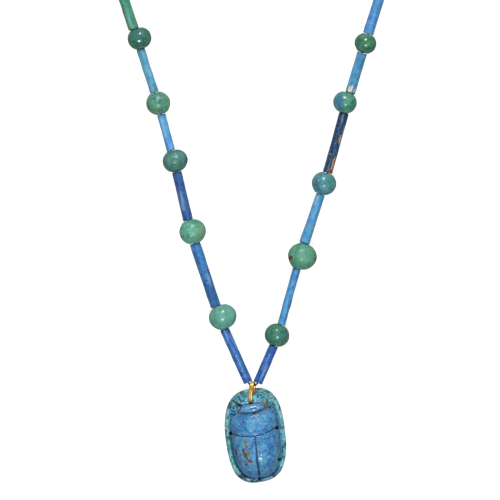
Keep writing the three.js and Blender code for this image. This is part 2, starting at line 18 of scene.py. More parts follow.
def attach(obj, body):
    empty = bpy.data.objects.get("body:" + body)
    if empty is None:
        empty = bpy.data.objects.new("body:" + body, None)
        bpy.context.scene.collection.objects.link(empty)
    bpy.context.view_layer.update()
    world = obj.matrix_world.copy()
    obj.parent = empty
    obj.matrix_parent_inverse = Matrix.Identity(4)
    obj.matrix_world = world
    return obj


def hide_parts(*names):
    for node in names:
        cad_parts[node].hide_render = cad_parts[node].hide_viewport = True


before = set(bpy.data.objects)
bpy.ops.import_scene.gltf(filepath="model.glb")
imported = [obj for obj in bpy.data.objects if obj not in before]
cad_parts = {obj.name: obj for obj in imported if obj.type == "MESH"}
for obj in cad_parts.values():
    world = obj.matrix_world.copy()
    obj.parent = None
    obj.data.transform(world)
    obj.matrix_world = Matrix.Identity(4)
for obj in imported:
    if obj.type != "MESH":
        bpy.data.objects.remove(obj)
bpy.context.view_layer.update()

LOG = logging.getLogger("scarab_necklace")
MM = 0.001
BODY = "root"
DOUBLED = 0.0005
Array = np.ndarray
Plan = tuple[float, float]
Socket = bpy.types.NodeSocket


# ------------------------------------------------------------------------------ small tools


class Layer(Enum):
    """The painted layers of a piece, each an attribute of its mesh."""

    SECOND = "second"
    BARE = "bare"
    RUST = "rust"
    # soiling, and painted shade at joints, in bores and round the loop's hole
    DIRT_AND_SHADE = "dirt_and_shade"
    # paler glaze, and painted highlights on two tubes
    PALE = "pale"
    MATT = "matt"


def linear(code: str) -> tuple[float, float, float, float]:
    """Turns a colour code into the linear colour that a shader socket holds.

    Args:
        code: The colour as # and six hexadecimal digits.

    Returns:
        Red, green, blue and a full alpha.
    """
    values = [int(code[i:i + 2], 16) / 255 for i in (1, 3, 5)]
    red, green, blue = [v / 12.92 if v <= 0.04045 else ((v + 0.055) / 1.055) ** 2.4 for v in values]
    return red, green, blue, 1.0


def smooth_step(low: float, high: float, value: Array) -> Array:
    """Rises softly from 0 at low to 1 at high."""
    share = np.clip((value - low) / (high - low), 0, 1)
    return share * share * (3 - 2 * share)


def soft_noise(points: Array, size: float, seed: int = 0) -> Array:
    """Smooth noise that is the same in each run.

    Args:
        points: Places, one row each.
        size: How wide a lump is, in the places' unit.
        seed: A number that picks another pattern.

    Returns:
        A value from -1 to 1 for each place.
    """
    lattice = points / size + seed * 17.3
    cell = np.floor(lattice).astype(np.int64)
    blend = lattice - cell
    blend = blend * blend * (3 - 2 * blend)
    total = np.zeros(len(points))
    for corner in range(8):
        step = np.array([corner & 1, corner >> 1 & 1, corner >> 2 & 1])
        at = cell + step
        mixed = at[:, 0] * 374761393 + at[:, 1] * 668265263 + at[:, 2] * 1442695041
        mixed = (mixed ^ (mixed >> 13)) * 1274126177
        value = ((mixed ^ (mixed >> 16)) & 0xFFFF) / 32767.5 - 1
        total += value * np.prod(np.where(step, blend, 1 - blend), axis=1)
    return total


def line_distance(x: Array, y: Array, line: list[Plan]) -> tuple[Array, Array]:
    """Measures plan points against a line of straight stretches.

    Args:
        x: The points' first coordinate.
        y: The points' second coordinate.
        line: The corners of the line.

    Returns:
        Each point's distance from the line, and the share of its length at the nearest place.
    """
    corners = np.array(line)
    steps = np.hypot(*np.diff(corners, axis=0).T)
    before = np.concatenate([[0], np.cumsum(steps)])
    best = np.full(x.shape, np.inf)
    share = np.zeros(x.shape)
    for k, length in enumerate(steps):
        (ax, ay), (bx, by) = corners[k], corners[k + 1]
        along = np.clip(((x - ax) * (bx - ax) + (y - ay) * (by - ay)) / length ** 2, 0, 1)
        away = np.hypot(x - ax - along * (bx - ax), y - ay - along * (by - ay))
        nearer = away < best
        best = np.where(nearer, away, best)
        share = np.where(nearer, (before[k] + along * length) / before[-1], share)
    return best, share


def deselect() -> None:
    """Clears the selection, so that an operator acts on its own piece alone."""
    bpy.ops.object.select_all(action="DESELECT")


def take(obj: bpy.types.Object) -> bpy.types.Object:
    """Makes one object the selected and active one, and hands it back."""
    deselect()
    obj.select_set(True)
    bpy.context.view_layer.objects.active = obj
    return obj


def vertices_of(obj: bpy.types.Object, what: str = "co") -> Array:
    """Reads an object's vertex places, or their normals, as rows of three."""
    source = obj.data.vertices if what == "co" else obj.data.vertex_normals
    values = np.zeros(len(source) * 3)
    source.foreach_get("co" if what == "co" else "vector", values)
    return values.reshape(-1, 3)


def set_vertices(obj: bpy.types.Object, places: Array) -> None:
    """Writes an object's vertex places."""
    obj.data.vertices.foreach_set("co", np.ascontiguousarray(places, dtype=np.float64).ravel())
    obj.data.update()


def paint(obj: bpy.types.Object, layers: dict[Layer, Array]) -> None:
    """Stores each layer's number for each vertex under the name that a material reads."""
    for layer, values in layers.items():
        made = obj.data.attributes.new(layer.value, "FLOAT", "POINT")
        made.data.foreach_set("value", np.clip(values, 0, 1).astype(np.float32))


def apply_modifier(obj: bpy.types.Object, kind: str, **settings: object) -> None:
    """Adds a modifier with the given settings and applies it."""
    take(obj)
    modifier = obj.modifiers.new(kind.title(), kind)
    for key, value in settings.items():
        setattr(modifier, key, value)
    bpy.ops.object.modifier_apply(modifier=modifier.name)


def edit_all(obj: bpy.types.Object) -> None:
    """Opens a piece in edit mode with its whole skin selected."""
    take(obj)
    bpy.ops.object.mode_set(mode="EDIT")
    bpy.ops.mesh.select_all(action="SELECT")


def close_skin(obj: bpy.types.Object, merge: float = 0.0) -> None:
    """Turns a skin's faces outwards, once points nearer than a given distance are merged."""
    edit_all(obj)
    if merge:
        bpy.ops.mesh.remove_doubles(threshold=merge)
    bpy.ops.mesh.normals_make_consistent(inside=False)
    bpy.ops.object.mode_set(mode="OBJECT")


def merged_copy(node: str, name: str) -> bpy.types.Object:
    """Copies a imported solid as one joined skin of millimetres.

    Args:
        node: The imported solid.
        name: The new object's name.

    Returns:
        The copy, whose loose triangles are merged and paired into quads.
    """
    obj = bpy.data.objects.new(name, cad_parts[node].data.copy())
    bpy.context.collection.objects.link(obj)
    obj.data.transform(Matrix.Scale(1 / MM, 4))
    obj.data.materials.clear()
    edit_all(obj)
    bpy.ops.mesh.remove_doubles(threshold=0.001)
    bpy.ops.mesh.tris_convert_to_quads(
        face_threshold=math.radians(40), shape_threshold=math.radians(60))
    bpy.ops.object.mode_set(mode="OBJECT")
    return obj


def spun(name: str, section: Array, steps: int) -> bpy.types.Object:
    """Spins a closed section once round the Z axis into a ring-shaped skin.

    Args:
        name: The new object's name.
        section: Rows of radius and height.
        steps: How many sides the ring has.

    Returns:
        The new object, in the section's own unit.
    """
    deselect()
    bpy.ops.mesh.primitive_circle_add(vertices=len(section), fill_type="NOTHING")
    obj = bpy.context.object
    obj.name = name
    set_vertices(obj, np.column_stack([section[:, 0], np.zeros(len(section)), section[:, 1]]))
    edit_all(obj)
    bpy.ops.mesh.spin(steps=steps, angle=2 * math.pi, center=(0, 0, 0), axis=(0, 0, 1))
    bpy.ops.object.mode_set(mode="OBJECT")
    close_skin(obj, DOUBLED)
    return obj


def finish_piece(
    obj: bpy.types.Object, material: bpy.types.Material, nodes: list[str]
) -> bpy.types.Object:
    """Dresses a piece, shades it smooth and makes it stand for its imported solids.

    Args:
        obj: The piece, with its place in its mesh, in metres.
        material: Its finish.
        nodes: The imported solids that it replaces.

    Returns:
        The piece.
    """
    obj.data.materials.clear()
    obj.data.materials.append(material)
    take(obj)
    bpy.ops.object.shade_smooth()
    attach(obj, BODY)
    if nodes:
        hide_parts(*nodes)
    LOG.info("%s: %d faces", obj.name, len(obj.data.polygons))
    return obj


# ------------------------------------------------------------------------------ finishes


class Kit:
    """A few short ways to lay and link shader nodes in one tree."""

    def __init__(self, tree: bpy.types.NodeTree) -> None:
        """Keeps the tree."""
        self.tree = tree

    def feed(self, socket: bpy.types.NodeSocket, value: object) -> None:
        """Links an output to a socket, or sets the socket to a plain value."""
        if isinstance(value, bpy.types.NodeSocket):
            self.tree.links.new(value, socket)
        else:
            socket.default_value = value

    def node(self, kind: str, inputs: dict | None = None, **settings: object) -> bpy.types.Node:
        """Adds a node.

        Args:
            kind: The node's type without its ShaderNode prefix.
            inputs: Socket names or numbers with the value or the output that feeds them.
            settings: The node's own properties.

        Returns:
            The node.
        """
        made = self.tree.nodes.new("ShaderNode" + kind)
        for key, value in settings.items():
            setattr(made, key, value)
        for key, value in (inputs or {}).items():
            self.feed(made.inputs[key], value)
        return made

    def mix(self, share: object, first: object, second: object, blend: str = "MIX") -> Socket:
        """Mixes two colours by a share and returns the result."""
        parts = {0: share, 6: first, 7: second}
        return self.node("Mix", parts, data_type="RGBA", blend_type=blend).outputs[2]

    def sum(self, operation: str, first: object, second: object, clamp: bool = False) -> Socket:
        """Joins two numbers by a Math node and returns the result."""
        parts = {0: first, 1: second}
        return self.node("Math", parts, operation=operation, use_clamp=clamp).outputs[0]

    def span(
        self, value: object, low: float, high: float, to_low: float = 0.0, to_high: float = 1.0
    ) -> Socket:
        """Maps a number from one range softly onto another and returns it."""
        parts = {"Value": value, "From Min": low, "From Max": high,
                 "To Min": to_low, "To Max": to_high}
        return self.node("MapRange", parts, interpolation_type="SMOOTHSTEP").outputs[0]

    def noise(self, place: Socket, scale: object, detail: float, rough: float = 0.5) -> Socket:
        """Lays a cloudy pattern and returns its value."""
        parts = {"Vector": place, "Scale": scale, "Detail": detail, "Roughness": rough}
        return self.node("TexNoise", parts).outputs["Fac"]

    def cells(self, place: Socket, scale: float, feature: str = "DISTANCE_TO_EDGE") -> Socket:
        """Lays a pattern of cells and returns the distance in it."""
        parts = {"Vector": place, "Scale": scale, "Randomness": 1.0}
        return self.node("TexVoronoi", parts, feature=feature).outputs["Distance"]

    def painted(self, layer: Layer) -> Socket:
        """Reads a painted layer of the surface."""
        return self.node("Attribute", attribute_name=layer.value).outputs["Fac"]

    def surface(
        self, colour: Socket, rough: object, height: Socket, strength: float, depth: float
    ) -> bpy.types.Node:
        """Lays a material's shader with its bump and its output.

        Args:
            colour: The base colour.
            rough: The roughness.
            height: What the bump follows.
            strength: How strong the bump is.
            depth: How deep it is, in millimetres.

        Returns:
            The shader.
        """
        parts = {"Height": height, "Strength": strength, "Distance": depth * MM}
        normal = self.node("Bump", parts).outputs[0]
        shader = self.node(
            "BsdfPrincipled", {"Base Color": colour, "Roughness": rough, "Normal": normal})
        self.node("OutputMaterial", {0: shader.outputs[0]})
        return shader


def new_material(name: str) -> tuple[bpy.types.Material, Kit]:
    """Starts an empty material and hands it back with a kit for its nodes."""
    material = bpy.data.materials.new(name)
    material.use_nodes = True
    material.node_tree.nodes.clear()
    return material, Kit(material.node_tree)


def make_group(
    name: str, inputs: list[tuple[str, str, object]], outputs: list[tuple[str, str]]
) -> tuple[bpy.types.NodeTree, Kit, bpy.types.NodeOutputs, bpy.types.NodeInputs]:
    """Starts a shader node group with named inputs and outputs.

    Args:
        name: The group's name.
        inputs: Name, socket kind and default of each input.
        outputs: Name and socket kind of each output.

    Returns:
        The group, a kit for it, what it is given and what it gives.
    """
    group = bpy.data.node_groups.new(name, "ShaderNodeTree")
    for label, kind, default in inputs:
        socket = group.interface.new_socket(
            label, in_out="INPUT", socket_type="NodeSocket" + kind)
        socket.default_value = default
    for label, kind in outputs:
        group.interface.new_socket(label, in_out="OUTPUT", socket_type="NodeSocket" + kind)
    given, out = group.nodes.new("NodeGroupInput"), group.nodes.new("NodeGroupOutput")
    return group, Kit(group), given.outputs, out.inputs


def glaze_group() -> bpy.types.NodeTree:
    """Makes the shared glaze: mottled tones, specks, fine crazing and pin holes.

    Returns:
        A group that gives a colour, a worn mask and a height.
    """
    group, kit, given, out = make_group(
        "glaze_surface",
        [
            ("First", "Color", (0.1, 0.3, 0.6, 1)),
            ("Second", "Color", (0.1, 0.4, 0.6, 1)),
            ("Deep", "Color", (0.02, 0.06, 0.12, 1)),
            ("Balance", "Float", 0.5),
            ("Cloud", "Float", 500.0),
            ("Specks", "Float", 0.4),
            ("Crazing", "Float", 0.3),
            ("Offset", "Float", 0.0),
        ],
        [("Color", "Color"), ("Worn", "Float"), ("Height", "Float")],
    )
    place = kit.node("TexCoord").outputs["Object"]
    at = kit.node("VectorMath", {0: place, 1: given["Offset"]}, operation="ADD").outputs[0]
    cloud = kit.noise(at, given["Cloud"], 4.0, 0.62)
    shifted = kit.sum("SUBTRACT", cloud, kit.sum("SUBTRACT", 0.92, given["Balance"]))
    base = kit.mix(kit.span(shifted, -0.04, 0.12), given["First"], given["Second"])
    streak = kit.span(kit.noise(at, 1900.0, 2.0), 0.52, 0.7, 0.0, 0.26)
    lighter = kit.mix(streak, base, kit.mix(0.45, base, (0.8, 0.9, 0.9, 1)))
    fine = kit.span(kit.noise(at, 4200.0, 3.0, 0.7), 0.53, 0.66)
    speck = kit.sum("MULTIPLY", fine, given["Specks"])
    specked = kit.mix(speck, lighter, given["Deep"])
    hair = kit.span(kit.cells(at, 1050.0), 0.0, 0.055, 1.0, 0.0)
    long_hair = kit.span(kit.cells(at, 520.0), 0.0, 0.035, 1.0, 0.0)
    crack = kit.sum("MULTIPLY", hair, kit.span(cloud, 0.42, 0.62))
    crazed = kit.sum("MULTIPLY", kit.sum("MAXIMUM", crack, long_hair), given["Crazing"])
    hole = kit.span(kit.cells(at, 1500.0, "F1"), 0.08, 0.2, 1.0, 0.0)
    height = kit.sum("SUBTRACT", kit.sum("MULTIPLY", cloud, 0.8), kit.sum("MULTIPLY", crazed, 0.5))
    height = kit.sum("SUBTRACT", height, kit.sum("MULTIPLY", hole, 0.5))
    kit.feed(out["Color"], kit.mix(crazed, specked, given["Deep"]))
    kit.feed(out["Worn"], kit.sum("MAXIMUM", kit.sum("MULTIPLY", speck, 0.7), crazed))
    kit.feed(out["Height"], height)
    return group


def weathered_group() -> bpy.types.NodeTree:
    """Makes the shared decay: bare body, rust, and ground-in soiling together with painted shade,
    over a glaze.

    Returns:
        A group that gives the final colour and a mask of what is no longer glossy.
    """
    group, kit, given, out = make_group(
        "weathered_surface",
        [
            ("Color", "Color", (0.1, 0.3, 0.6, 1)),
            ("Body", "Color", (0.5, 0.35, 0.12, 1)),
            ("Rust", "Color", (0.35, 0.12, 0.03, 1)),
            ("Dirt_and_shade", "Color", (0.01, 0.02, 0.03, 1)),
            ("Bare share", "Float", 0.0),
            ("Rust share", "Float", 0.0),
            ("Dirt share", "Float", 0.0),
            ("Worn", "Float", 0.0),
        ],
        [("Color", "Color"), ("Dull", "Float")],
    )
    grain = kit.noise(kit.node("TexCoord").outputs["Object"], 2600.0, 3.0)
    shade = kit.span(grain, 0.3, 0.7, 0.55, 1.25)
    grey = kit.node("CombineColor", {0: shade, 1: shade, 2: shade}).outputs[0]
    body = kit.mix(1.0, given["Body"], grey, "MULTIPLY")
    ragged = kit.sum("MULTIPLY", kit.sum("SUBTRACT", grain, 0.5), 0.9)
    bare = kit.span(kit.sum("ADD", given["Bare share"], ragged), 0.28, 0.78)
    rust = kit.span(kit.sum("ADD", given["Rust share"], ragged), 0.32, 0.85)
    rusty = kit.mix(rust, kit.mix(bare, given["Color"], body), given["Rust"])
    # the dark share darkens the colour towards the deep tone: soiling and painted shade together
    kit.feed(out["Color"], kit.mix(given["Dirt share"], rusty, given["Dirt_and_shade"]))
    lost = kit.sum("MAXIMUM", given["Bare share"], given["Rust share"])
    spoilt = kit.sum("MAXIMUM", given["Dirt share"], given["Worn"])
    kit.feed(out["Dull"], kit.sum("MAXIMUM", lost, spoilt, True))
    return group


@dataclass(frozen=True)
class Glaze:
    """The finish of one glazed piece.

    The colours are codes.  A painted second tone lies over the mottled pair.
    """

    name: str
    first: str
    second: str
    deep: str = "#16303f"
    over: str = "#4f9f8f"
    body: str = "#b98a45"
    rust: str = "#8a4526"
    balance: float = 0.5
    cloud: float = 380.0
    specks: float = 0.3
    crazing: float = 0.12
    gloss: float = 0.26
    bump: float = 0.25
    offset: float = 0.0

    def make(self, glaze: bpy.types.NodeTree, weathered: bpy.types.NodeTree) -> bpy.types.Material:
        """Builds the material.

        Args:
            glaze: The shared glaze group.
            weathered: The shared decay group.

        Returns:
            The material.
        """
        material, kit = new_material(self.name)
        surface = kit.node("Group", node_tree=glaze)
        for label, value in (
            ("First", linear(self.first)), ("Second", linear(self.second)),
            ("Deep", linear(self.deep)), ("Balance", self.balance), ("Cloud", self.cloud),
            ("Specks", self.specks), ("Crazing", self.crazing), ("Offset", self.offset),
        ):
            kit.feed(surface.inputs[label], value)
        plain = surface.outputs["Color"]
        over = kit.mix(0.22, linear(self.over), plain)
        toned = kit.mix(kit.painted(Layer.SECOND), plain, over)
        # the pale layer lightens the tone: paler glaze, and on two tubes a painted highlight
        faded_and_highlit = kit.mix(0.3, toned, (0.6, 0.85, 0.95, 1))
        decay = kit.node("Group", node_tree=weathered)
        for label, value in (
            ("Color", kit.mix(kit.painted(Layer.PALE), toned, faded_and_highlit)),
            ("Worn", surface.outputs["Worn"]), ("Body", linear(self.body)),
            ("Rust", linear(self.rust)), ("Dirt_and_shade", linear(self.deep)),
            ("Bare share", kit.painted(Layer.BARE)), ("Rust share", kit.painted(Layer.RUST)),
            ("Dirt share", kit.painted(Layer.DIRT_AND_SHADE)),
        ):
            kit.feed(decay.inputs[label], value)
        dull = kit.sum("MAXIMUM", decay.outputs["Dull"], kit.painted(Layer.MATT))
        shader = kit.surface(
            decay.outputs["Color"], kit.span(dull, 0.0, 1.0, self.gloss, 0.75),
            surface.outputs["Height"], self.bump, 0.05)
        shader.inputs["IOR"].default_value = 1.5
        return material


@dataclass(frozen=True)
class Gold:
    """Old gold wire, worn smooth, with redder and paler streaks."""

    name: str = "old_gold"
    warm: str = "#f0a23c"
    pale: str = "#ffe28a"

    def make(self) -> bpy.types.Material:
        """Builds the material."""
        material, kit = new_material(self.name)
        place = kit.node("TexCoord").outputs["Object"]
        cloud = kit.span(kit.noise(place, 900.0, 4.0), 0.35, 0.65)
        scratch = kit.noise(place, 5200.0, 2.0)
        colour = kit.mix(cloud, linear(self.warm), linear(self.pale))
        rough = kit.span(scratch, 0.35, 0.7, 0.34, 0.5)
        kit.surface(colour, rough, scratch, 0.3, 0.03).inputs["Metallic"].default_value = 0.72
        return material


@dataclass(frozen=True)
class Yarn:
    """Dark brown plied thread."""

    name: str = "brown_thread"
    dark: str = "#3a2718"
    light: str = "#7a5634"

    def make(self) -> bpy.types.Material:
        """Builds the material."""
        material, kit = new_material(self.name)
        fibre = kit.noise(kit.node("TexCoord").outputs["Object"], 6000.0, 3.0)
        colour = kit.mix(kit.span(fibre, 0.35, 0.7), linear(self.dark), linear(self.light))
        kit.surface(colour, 0.9, fibre, 0.5, 0.04)
        return material


# ------------------------------------------------------------------------------ the amulet


@dataclass(frozen=True)
class Oval:
    """An oval with squarish shoulders."""

    half_width: float
    half_length: float
    power: float = 2.7

    def level(self, x: Array, y: Array) -> Array:
        """Gives 1 on the outline and less inside it."""
        wide, long = np.abs(x / self.half_width), np.abs(y / self.half_length)
        return (wide ** self.power + long ** self.power) ** (1 / self.power)

    def inside(self, x: Array, y: Array) -> Array:
        """Gives about how far inside the outline each point is, less than 0 outside."""
        level = np.maximum(self.level(x, y), 1e-6)
        return (1 / level - 1) * np.maximum(np.hypot(x, y), 1e-5)

    def point(self, angle: Array) -> tuple[Array, Array]:
        """Gives the outline's point at an angle."""
        def soft(value: Array) -> Array:
            """Squares off the circle."""
            return np.sign(value) * np.abs(value) ** (2 / self.power)
        return self.half_width * soft(np.cos(angle)), self.half_length * soft(np.sin(angle))


@dataclass(frozen=True)
class LoopSeat:
    """The slanting plane in which the gold loop lies, in the amulet's own axes and millimetres."""

    foot: Plan = (0.65, 8.95)
    run: Plan = (1.14, 5.38)
    lean: float = math.radians(14)

    def place(self) -> Matrix:
        """Gives the placement from the loop's plane, along and up, to the amulet's axes."""
        run = Vector((*self.run, 0)).normalized()
        up = Matrix.Rotation(-self.lean, 3, run) @ Vector((0, 0, 1))
        placed = Matrix((run, up, run.cross(up))).transposed().to_4x4()
        placed.translation = (*self.foot, 0)
        return placed

    def at(self, along: float, up: float, side: float = 0.0) -> Vector:
        """Gives a point of the loop's plane, or beside it, in the amulet's axes."""
        return self.place() @ Vector((along, up, side))


@dataclass(frozen=True)
class Stroke:
    """A cut line: its corners, its width at both ends, its depth and how dark its groove is
    painted, soiling and painted shade together.
    """

    line: list[Plan]
    width: tuple[float, float]
    depth: float
    dirt_and_shade: float = 0.8

    def cut(self, x: Array, y: Array) -> tuple[Array, Array]:
        """Gives the depth, and the darkening of soiling and painted shade, that the stroke leaves
        at each point.
        """
        away, share = line_distance(x, y, self.line)
        half = (self.width[0] + (self.width[1] - self.width[0]) * share) / 2
        groove = np.clip(1 - (away / half) ** 2, 0, 1) ** 1.4
        return self.depth * groove, self.dirt_and_shade * smooth_step(1.15, 0.35, away / half)


@dataclass(frozen=True)
class Blot:
    """A stain or a bare spot of the amulet's top: its line, its reach, its layer and strength."""

    line: list[Plan]
    reach: float
    layer: Layer
    strength: float = 1.0


@dataclass
class ScarabAmulet:
    """The carved and glazed beetle on its oval plate, in millimetres along its own axis.

    A pit is its place, its radius and its depth, and so is a chip of the rim, with its height.
    """

    turn: float = math.radians(7)
    plate: Oval = Oval(8.1, 12.6)
    moat: Oval = Oval(6.95, 11.65)
    table: Oval = Oval(6.5, 11.4)
    plate_top: float = 2.6
    moat_floor: float = 1.9
    table_top: float = 3.5
    back_base: float = 3.0
    back_height: float = 10.0
    peak_y: float = -0.8
    rear_reach: float = 10.65
    front_reach: float = 10.6
    rear_power: float = 3.6
    front_power: float = 2.3
    side_power: float = 2.5
    thorax_front_y: float = 6.7
    thorax_dip: float = 0.9
    thorax_lean: float = 0.07
    thorax_rear_y: float = -0.03
    thorax_rise: float = 1.6
    waist_lean: float = 0.04
    suture_x: float = -0.22
    suture_bow: float = 0.14
    suture_length: float = 11.5
    roll: float = 1.3
    head_rear_y: float = 6.0
    head_rise: float = 0.8
    head_lean: float = 0.06
    head_front_lean: float = 0.04
    head_bulge: float = 0.012
    head_left_rear: float = 4.0
    head_left_front: float = 2.75
    head_right_rear: float = 3.5
    head_right_front: float = 3.2
    head_half_rear: float = 3.7
    head_front_y: float = 8.5
    head_gap: float = 0.18
    head_top: float = 6.0
    head_slope: float = 0.47
    head_crown: float = 0.05
    leg_places: tuple[float, ...] = (4.6, 1.9, -1.9, -4.7, -7.4)
    pocket_depth: float = 0.6
    pocket_width: float = 1.7
    pocket_lean: float = 1.0
    pocket_low: float = 2.1
    pocket_high: float = 4.6
    voxel: float = 0.13
    seat: LoopSeat = LoopSeat()
    wire_clearance: float = 0.14
    bore_from: Plan = (0.4, 2.6)
    bore_to: Plan = (4.4, 1.3)
    bore_radius: float = 0.85
    mouth_from: tuple[float, float, float] = (-0.25, 8.75, 4.6)
    mouth_to: tuple[float, float, float] = (0.0, 9.3, 2.9)
    mouth_radius: float = 0.62
    mouth_foot: float = 0.6
    pits: tuple[tuple[float, ...], ...] = (
        (-6.6, 1.4, 0.46, 1.0), (6.14, 1.35, 0.5, 1.1), (5.65, -7.2, 0.46, 0.8),
        (-0.25, -11.75, 0.5, 0.9), (-2.83, 4.1, 0.26, 0.3), (3.25, -1.15, 0.24, 0.3),
        (1.3, -9.0, 0.14, 0.12), (-3.4, -7.3, 0.2, 0.15),
    )
    rim_chips: tuple[tuple[float, ...], ...] = (
        (8.15, -3.9, 2.4, 0.8, 0.85), (-7.4, -6.3, 2.4, 0.5, 0.25), (4.9, 10.9, 2.5, 0.5, 0.22),
        (-5.6, 10.0, 2.4, 0.45, 0.2), (-8.1, 2.6, 2.4, 0.45, 0.18), (2.6, -12.4, 2.2, 0.5, 0.2),
        (7.6, 5.6, 2.4, 0.5, 0.2), (-3.0, -12.2, 1.0, 0.6, 0.2), (8.0, 1.5, 0.5, 0.6, 0.22),
    )
    strokes: list[Stroke] = field(default_factory=list)
    blots: list[Blot] = field(default_factory=list)

    def thorax_front(self, x: Array) -> Array:
        """Gives the thorax's front line."""
        dip = self.thorax_dip * (np.abs(x) / self.table.half_width) ** 4
        return self.thorax_front_y + self.thorax_lean * x - dip

    def thorax_rear(self, x: Array) -> Array:
        """Gives the line between thorax and wing cases."""
        rise = self.thorax_rise * (x / self.table.half_width) ** 2
        return self.thorax_rear_y + self.waist_lean * x + rise

    def back(self, x: Array, y: Array) -> Array:
        """Gives the height of the domed back."""
        reach = np.where(y < self.peak_y, self.rear_reach, self.front_reach)
        power = np.where(y < self.peak_y, self.rear_power, self.front_power)
        along = np.minimum(1, np.abs(y - self.peak_y) / reach)
        crown = (self.back_height - self.back_base) * np.sqrt(1 - along ** power)
        narrow = np.clip(1 - (np.abs(y) / self.table.half_length) ** self.table.power, 0, 1)
        side = np.maximum(self.table.half_width * narrow ** (1 / self.table.power), 1e-6)
        out = np.minimum(1, np.abs(x) / side)
        return self.back_base + crown * np.sqrt(1 - out ** self.side_power)

    def head_inside(self, x: Array, y: Array) -> Array:
        """Gives how far inside the head's outline each point is."""
        rise = self.head_rise * (x / self.head_half_rear) ** 2
        rear = y - (self.head_rear_y + self.head_lean * x + rise)
        front = self.head_front_y + self.head_front_lean * x - self.head_bulge * x * x - y
        share = (y - self.head_rear_y) / (self.head_front_y - self.head_rear_y)
        left = x + self.head_left_rear - (self.head_left_rear - self.head_left_front) * share
        right = self.head_right_rear - (self.head_right_rear - self.head_right_front) * share - x
        return np.minimum(np.minimum(rear, front), np.minimum(left, right))

    def height(self, x: Array, y: Array) -> Array:
        """Gives the height of the whole top over its plan, before the fine cuts."""
        edge = np.clip(self.plate.inside(x, y) / 0.55, 0, 1)
        rim = self.plate_top - 0.55 * (1 - np.sqrt(1 - (1 - edge) ** 2))
        lower_left = smooth_step(2, 7, -x - 0.6 * y) * smooth_step(11.5, 6, -y)
        arc = smooth_step(6.0, 8.6, y)
        moat = self.moat_floor - 0.3 * lower_left + (self.plate_top - 0.15 - self.moat_floor) * arc
        top = np.where(self.moat.level(x, y) < 1, moat, rim)
        table_in = self.table.inside(x, y)
        field_top = self.table_top - 0.5 * (1 - smooth_step(0, 0.45, table_in))
        leg = np.exp(-((table_in - 0.95) / 0.5) ** 2) * smooth_step(5.2, 6.6, y)
        field_top = field_top + 0.3 * leg - 0.2 * smooth_step(1.5, 2.1, table_in)
        field_top = field_top - 0.75 * arc * smooth_step(1.3, 0.0, table_in)
        top = np.where(table_in > 0, field_top, top)
        front = self.thorax_front(x) - y
        share = np.clip(front / self.roll, 0, 1)
        dome = self.back(x, y)
        low = np.minimum(dome, self.table_top + 0.6)
        dome = low + (dome - low) * np.sqrt(1 - (1 - share) ** 2)
        top = np.where((table_in > 0) & (front > 0), np.maximum(dome, top), top)
        hollow = np.maximum(self.triangle(x, y, 1), self.triangle(x, y, -1))
        sunk = np.minimum(top, 3.2 - np.minimum(hollow, 0.5))
        top = np.where((hollow > 0) & (front <= 0.2), sunk, top)
        head_in = self.head_inside(x, y)
        beside = np.minimum(top, self.table_top - 0.4)
        top = np.where((head_in > -self.head_gap) & (table_in > 0), beside, top)
        slope = self.head_slope * (y - self.head_rear_y)
        head_top = self.head_top - slope - self.head_crown * x * x
        head_edge = np.clip(head_in / 0.6, 0, 1)
        head = head_top - 0.75 * (1 - np.sqrt(1 - (1 - head_edge) ** 2))
        return np.where(head_in > 0, head, top)

    @staticmethod
    def triangle(x: Array, y: Array, side: int) -> Array:
        """Gives how far inside the hollow beside the head each point is."""
        corners = [(side * 3.9, 6.55), (side * 4.95, 6.55), (side * 4.15, 10.2)]
        inside = np.full(x.shape, np.inf)
        for k in range(3):
            (ax, ay), (bx, by) = corners[k], corners[(k + 1) % 3]
            reach = ((bx - ax) * (y - ay) - (by - ay) * (x - ax)) / math.hypot(bx - ax, by - ay)
            inside = np.minimum(inside, side * reach)
        return inside

    def add_lines(self) -> None:
        """Lists the carved lines, the notches and the cracks."""
        run = np.linspace(0, 1, 13)
        suture = [(self.suture_x - self.suture_bow * math.exp(-((t - 0.6) / 0.16) ** 2),
                   self.thorax_rear_y - self.suture_length * t) for t in run]
        waist = [(x, float(self.thorax_rear(np.array(x)))) for x in np.linspace(-6.5, 6.5, 17)]
        self.strokes += [
            Stroke(suture, (0.34, 0.78), 0.45, 0.85),
            Stroke(waist, (0.42, 0.34), 0.36, 0.75),
            Stroke([(-0.8, 7.2), (0.1, 7.3), (1.05, 7.42)], (0.22, 0.5), 0.28, 0.7),
            Stroke([(-2.4, 7.9), (-0.8, 8.2)], (0.2, 0.3), 0.12, 0.3),
            Stroke([(1.3, 8.1), (2.7, 7.9)], (0.3, 0.2), 0.12, 0.4),
        ]
        chance = np.random.default_rng(11)
        for i in range(7):
            for side in (-1, 1):
                bearing = math.radians(26 + 8.6 * i + chance.uniform(-2.6, 2.6))
                angle = math.pi / 2 + side * (math.pi / 2 - bearing)
                x, y = [float(v) for v in self.table.point(np.array(angle))]
                heading = math.atan2(y - 3.5, x) + chance.uniform(-0.28, 0.28)
                out = (math.cos(heading), math.sin(heading))
                outer, inner = chance.uniform(0.0, 0.55), chance.uniform(0.4, 1.5)
                line = [(x + out[0] * reach, y + out[1] * reach) for reach in (outer, -inner)]
                width = (chance.uniform(0.22, 0.4), chance.uniform(0.4, 0.75))
                depth, dirt_and_shade = chance.uniform(0.3, 0.6), chance.uniform(0.3, 0.8)
                self.strokes.append(Stroke(line, width, depth, dirt_and_shade))
        self.strokes.append(Stroke([(-4.7, 9.9), (-3.9, 9.2), (-3.0, 8.5)], (0.4, 0.7), 0.5, 1.0))
